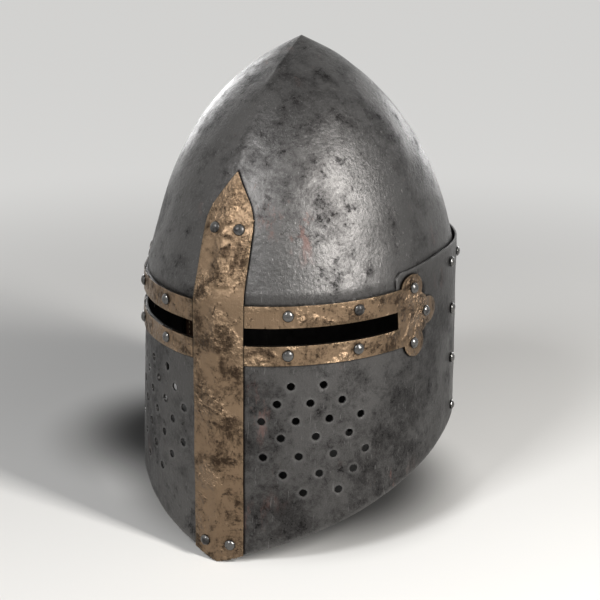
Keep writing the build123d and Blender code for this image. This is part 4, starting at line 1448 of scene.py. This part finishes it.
class HELM_OT_skull(PieceOperator):
    """Pointed skull with its collar, raised from one sheet"""

    bl_idname = "helm.skull"
    bl_label = "Skull"

    def make(self, sizes, colours):
        around = SKULL_AROUND
        runs = np.linspace(-HALF_RUN, HALF_RUN, around, endpoint=False)
        rows = [wall_point(runs, height, -STEEL)
                for height in np.linspace(COLLAR_FOOT, WAIST, COLLAR_ROWS, endpoint=False)]
        for place in np.linspace(0, 1, DOME_ROWS, endpoint=False):
            x, y = outline_point(dome.section(np.full(around, place)), runs, 0.0)
            height = float(dome.height(place))
            rows.append(np.stack([x, y + FRONT + comb(x, y, height), np.full(around, height)], axis=-1))
        points = np.concatenate(rows + [np.array([(0, APEX + FRONT, HELM_HEIGHT)])])
        faces = []
        for row in range(len(rows) - 1):
            for i in range(around):
                j = (i + 1) % around
                low, high = row * around, (row + 1) * around
                faces.append((low + i, low + j, high + j, high + i))
        last, tip = (len(rows) - 1) * around, len(points) - 1
        faces += [(last + i, last + (i + 1) % around, tip) for i in range(around)]
        mesh = new_mesh("skull_shell", points, faces)
        normals = np.array([tuple(v.normal) for v in mesh.vertices])
        fade = np.clip((points[:, 2] - WAIST) / WAIST_FADE, 0, 1)
        fade *= np.clip((HELM_HEIGHT - points[:, 2]) / TIP_FADE, 0, 1)
        obj = new_object("skull_shell", mesh)
        moved(obj, points + normals * (hammer_wave(points, sizes.wave_depth) * fade)[:, None])
        thickened(obj, STEEL, outwards=False, edge_round=sizes.edge_round)
        mark_shade_inside_and_under(obj)
        dress(obj, need("steel", steel_material, colours), "aged_steel", "skull")


class HELM_OT_plates(PieceOperator):
    """Face plate with eye slits and breaths, and the back plate behind its seam"""

    bl_idname = "helm.plates"
    bl_label = "Plates"

    def make(self, sizes, colours):
        steel = need("steel", steel_material, colours)
        sight = sight_outline()
        holes = []
        for run, height in breath_runs():
            hole = circle((run, height), sizes.breath_radius, 26, run_stretch(height))
            holes += [hole, mirrored(hole)]
        keel = [[(0, RIM_LOW + 0.5 * MM), (0, FACE_TOP - 0.5 * MM)]]
        # The face plate carries the painted shade beside the brass, with lines that keep its edges crisp
        face = sheet("face_shell", [face_outline()], [sight, mirrored(sight)] + holes, wall_point, STEEL,
                     sizes, creases=keel + shade_edge_lines(), grime=painted_shade_by_brass)
        mark_shade_inside_and_under(face)
        dress(face, steel, "aged_steel", "face_plate")
        back = sheet("back_shell", [back_outline()], [], wall_point, STEEL, sizes)
        low, high = LAP
        top = COLLAR_FOOT - 2 * SEAT
        lap = np.array(seam_line(low, top, rim_corner(low)) + seam_line(high, rim_corner(high) + 1 * MM, top))
        laps = [sheet("lap", [loop], [], lambda run, height: wall_point(run, height, -STEEL), STEEL, sizes)
                for loop in (lap, mirrored(lap))]
        back = joined("back_shell", [back] + laps)
        smooth(back)
        mark_shade_inside_and_under(back)
        dress(back, steel, "aged_steel", "back_plate")


class HELM_OT_keel_bar(PieceOperator):
    """Brass bar down the keel, joggled over the brow and pointed at its top"""

    bl_idname = "helm.keel_bar"
    bl_label = "Keel bar"

    def make(self, sizes, colours):
        keel = [[(0, 1 * MM), (0, BAR_TIP[1] - 1 * MM)]]
        bar = sheet("keel_bar_shell", [bar_outline()], [], bar_point, BRASS, sizes, outwards=True,
                    step=BRASS_STEP, creases=keel)
        mark_shaded_edges(bar)
        dress(bar, need("brass", brass_material, colours), "aged_brass", "keel_bar")


class HELM_OT_sight_bands(PieceOperator):
    """Brass bands round the eye slits, with clover ends"""

    bl_idname = "helm.sight_bands"
    bl_label = "Sight bands"

    def make(self, sizes, colours):
        loops, sight = clover_loops(), sight_outline()
        for name, turn in (("left", lambda loop: loop), ("right", mirrored)):
            solids = [turn(loop) for loop in loops]
            band = sheet(f"sight_band_{name}_shell", solids, [turn(sight)], wall_point, BRASS, sizes,
                         outwards=True, step=BRASS_STEP)
            mark_shaded_edges(band)
            dress(band, need("brass", brass_material, colours), "aged_brass", f"sight_band_{name}")


class HELM_OT_rivets(PieceOperator):
    """Round-headed rivets with hammered ends, and the burrs round the breaths"""

    bl_idname = "helm.rivets"
    bl_label = "Rivets and burrs"

    def make(self, sizes, colours):
        iron = need("rivet", rivet_material, colours)
        places = rivet_places()
        origin, out, lean = strap_place()
        lift = STRAP_LIFT * lean
        strap_grip = lift + 2 * STEEL + WASHER + STRAP_THICKNESS + STRAP_SLACK
        places += both_sides([(origin + out * lift, out, strap_grip)])
        obj = point_cloud("rivets", places)
        run_tree(obj, rivet_tree(), {
            "Head Radius": sizes.rivet_radius, "Head Rise": sizes.rivet_rise,
            "Peen Radius": sizes.peen_radius, "Peen Rise": sizes.peen_rise,
            "Unevenness": 0.5 * MM, "Seed": 5, "Material": iron})
        dress(obj, iron, "rivet_iron", "keel_bar_rivets", "sight_rivets_left", "sight_rivets_right",
              "seam_rivets_left", "seam_rivets_right", "back_rivets", "strap_rivets")
        holes = []
        for run, height in breath_runs():
            place, normal = place_of(wall_point, run, height)
            wave = float(hammer_wave(place[None, :], sizes.wave_depth)[0])
            holes.append((place + normal * (wave - sizes.breath_lip * LIP_SUNK), normal, 0.0))
        lips = point_cloud("breath_lips", both_sides(holes))
        steel = need("steel", steel_material, colours)
        run_tree(lips, lip_tree(), {"Radius": sizes.breath_radius + sizes.breath_lip * LIP_OUT,
                                    "Lip": sizes.breath_lip, "Seed": 9, "Material": steel})
        dress(lips, steel, "aged_steel")


class HELM_OT_fittings(PieceOperator):
    """Washers, lining band, crown ring, chin straps and buckle with softened edges"""

    bl_idname = "helm.fittings"
    bl_label = "Washers, leathers and buckle"

    def make(self, sizes, colours):
        iron = need("rivet", rivet_material, colours)
        brass = need("brass", brass_material, colours)
        lining = need("leather", leather_material, "Lining leather", colours.leather)
        strap = need("strap", leather_material, "Strap leather", colours.strap)
        fittings = (
            ("lining_washers", iron, "washer_iron", HELM, 0.15 * MM),
            ("strap_washers", iron, "washer_iron", HELM, 0.15 * MM),
            ("lining_band", lining, "liner_leather", HELM, 0.5 * MM),
            ("lining_crown_ring", lining, "liner_leather", HELM, 0.5 * MM),
            ("chin_strap_left", strap, "strap_leather", "chin_strap_left", 0.6 * MM),
            ("chin_strap_right", strap, "strap_leather", "chin_strap_right", 0.6 * MM),
            ("buckle_frame", brass, "buckle_brass", "buckle_frame", 0.5 * MM),
            ("buckle_tongue", brass, "buckle_brass", "buckle_tongue", 0.35 * MM),
        )
        for node, material, slot, body, rounding in fittings:
            obj = cad_copy(node)
            filed(obj, rounding, segments=3, degrees=35)
            smooth(obj, angle=50)
            dress(obj, material, slot, node, body=body)


class HELM_OT_petals(PieceOperator):
    """Six petals of the lining, stuffed by a cloth simulation and quilted in channels"""

    bl_idname = "helm.petals"
    bl_label = "Lining petals"

    def make(self, sizes, colours):
        nodes = [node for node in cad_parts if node.startswith("lining_petal")]
        obj = joined("lining_petals", [cad_copy(node) for node in nodes])
        closed = obj.modifiers.new("Closed seams", "DISPLACE")
        closed.strength = PETAL_GAP
        closed.mid_level = 0
        remesh = obj.modifiers.new("Even mesh", "REMESH")
        remesh.mode = "VOXEL"
        remesh.voxel_size = PAD_VOXEL
        applied(obj)
        moved(obj, coordinates(obj.data) - coordinates(obj.data, "vector") * PETAL_GAP)
        stuff(obj)
        finer = obj.modifiers.new("Finer mesh", "SUBSURF")
        finer.levels = finer.render_levels = 1
        applied(obj)
        quilt(obj, sizes.quilt_depth)
        obj.data.shade_smooth()
        dress(obj, need("linen", linen_material, colours), "padded_linen", *nodes)


class HELM_OT_stitches(PieceOperator):
    """Waxed thread along the lining band, the crown ring and the chin straps"""

    bl_idname = "helm.stitches"
    bl_label = "Stitches"

    def make(self, sizes, colours):
        thread = need("thread", thread_material, colours)
        runs = np.linspace(-HALF_RUN, HALF_RUN, 300)
        lines = [wall_point(runs, height, BAND_SKIN) for height in BAND_STITCHES]
        low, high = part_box("lining_crown_ring")
        middle, reach = (low + high) / 2, (high - low) / 2
        turn = np.linspace(0, 2 * math.pi, 90)
        across = middle.x + (reach.x - CROWN_SEAM) * np.cos(turn)
        depth = middle.y + (reach.y - CROWN_SEAM) * np.sin(turn)
        lines.append(np.stack([across, depth, np.full(90, low.z)], axis=-1))
        stitched("lining_stitches", lines, HELM, sizes, thread, "padded_linen")
        origin, out, _ = strap_place()
        along = np.cross((0, 0, 1), out)
        for side, name, end in zip((1, -1), ("chin_strap_left", "chin_strap_right"), STRAP_SEAM_LENGTHS):
            faces = []
            for skin in STRAP_SKINS:
                for across in (-STRAP_SEAM, STRAP_SEAM):
                    down = np.linspace(STRAP_SEAM_TOP, -end, 40)[:, None]
                    line = origin + out * skin + along * across + np.array((0, 0, 1)) * down
                    faces.append(line * (side, 1, 1))
            stitched(name + "_stitches", faces, name, sizes, thread, "strap_leather")


class HELM_OT_stage(PieceOperator):
    """Pale floor, soft studio lamps and the camera"""

    bl_idname = "helm.stage"
    bl_label = "Stage"

    def make(self, sizes, colours):
        scene = bpy.context.scene
        scene.view_settings.view_transform = "Standard"
        low, high = -FLOOR_HALF, FLOOR_HALF
        corners = [(low, low, 0), (high, low, 0), (high, high, 0), (low, high, 0)]
        floor = new_object("floor", new_mesh("floor", corners, [(0, 1, 2, 3)]))
        floor.data.materials.append(need("floor", floor_material, colours))
        for name, place, power, size, tint in LAMPS:
            lamp = bpy.data.lights.new(name, "AREA")
            lamp.shape = "RECTANGLE"
            lamp.size, lamp.size_y = size
            lamp.energy = power
            lamp.color = tint
            obj = new_object(name, lamp)
            obj.location = place
            obj.rotation_euler = (LAMP_AIM - Vector(place)).to_track_quat("-Z", "Y").to_euler()
            obj.visible_camera = False
            obj.visible_diffuse = "rim" not in name
        world = bpy.data.worlds.new("Studio")
        world.use_nodes = True
        scene.world = world
        graph = Graph(world.node_tree)
        world.node_tree.nodes.clear()
        light = graph.node("ShaderNodeBackground", None, ROOM_LIGHT)
        shown = graph.node("ShaderNodeBackground", None, ROOM_SEEN)
        mixed = graph.node("ShaderNodeMixShader", None, {0: graph.seen(), 1: light, 2: shown})
        graph.node("ShaderNodeOutputWorld", None, {"Surface": mixed})
        camera = bpy.data.cameras.new("Camera")
        camera.lens, camera.sensor_width = CAMERA_LENS, CAMERA_SENSOR
        view = new_object("Camera", camera)
        view.location = CAMERA_PLACE
        view.rotation_euler = CAMERA_TURN
        scene.camera = view


PIECES = (HELM_OT_stage, HELM_OT_skull, HELM_OT_plates, HELM_OT_keel_bar, HELM_OT_sight_bands, HELM_OT_rivets,
          HELM_OT_fittings, HELM_OT_petals, HELM_OT_stitches)


class HELM_PT_sidebar(bpy.types.Panel):
    """Sizes, colours and pieces of the helm"""

    bl_label = "Great Helm"
    bl_idname = "HELM_PT_sidebar"
    bl_space_type = "VIEW_3D"
    bl_region_type = "UI"
    bl_category = "Helm"

    def draw(self, context):
        for group in (context.scene.helm_sizes, context.scene.helm_colours):
            box = self.layout.box()
            for name in group.__annotations__:
                box.prop(group, name)
        for piece in PIECES:
            self.layout.operator(piece.bl_idname)


CLASSES = (HelmSizes, HelmColours) + PIECES + (HELM_PT_sidebar,)


def register():
    for cls in CLASSES:
        bpy.utils.register_class(cls)
    bpy.types.Scene.helm_sizes = bpy.props.PointerProperty(type=HelmSizes)
    bpy.types.Scene.helm_colours = bpy.props.PointerProperty(type=HelmColours)


def unregister():
    del bpy.types.Scene.helm_colours
    del bpy.types.Scene.helm_sizes
    for cls in reversed(CLASSES):
        bpy.utils.unregister_class(cls)


def main():
    register()
    for piece in PIECES:
        getattr(bpy.ops.helm, piece.bl_idname.split(".")[1])()


if __name__ == "__main__":
    main()
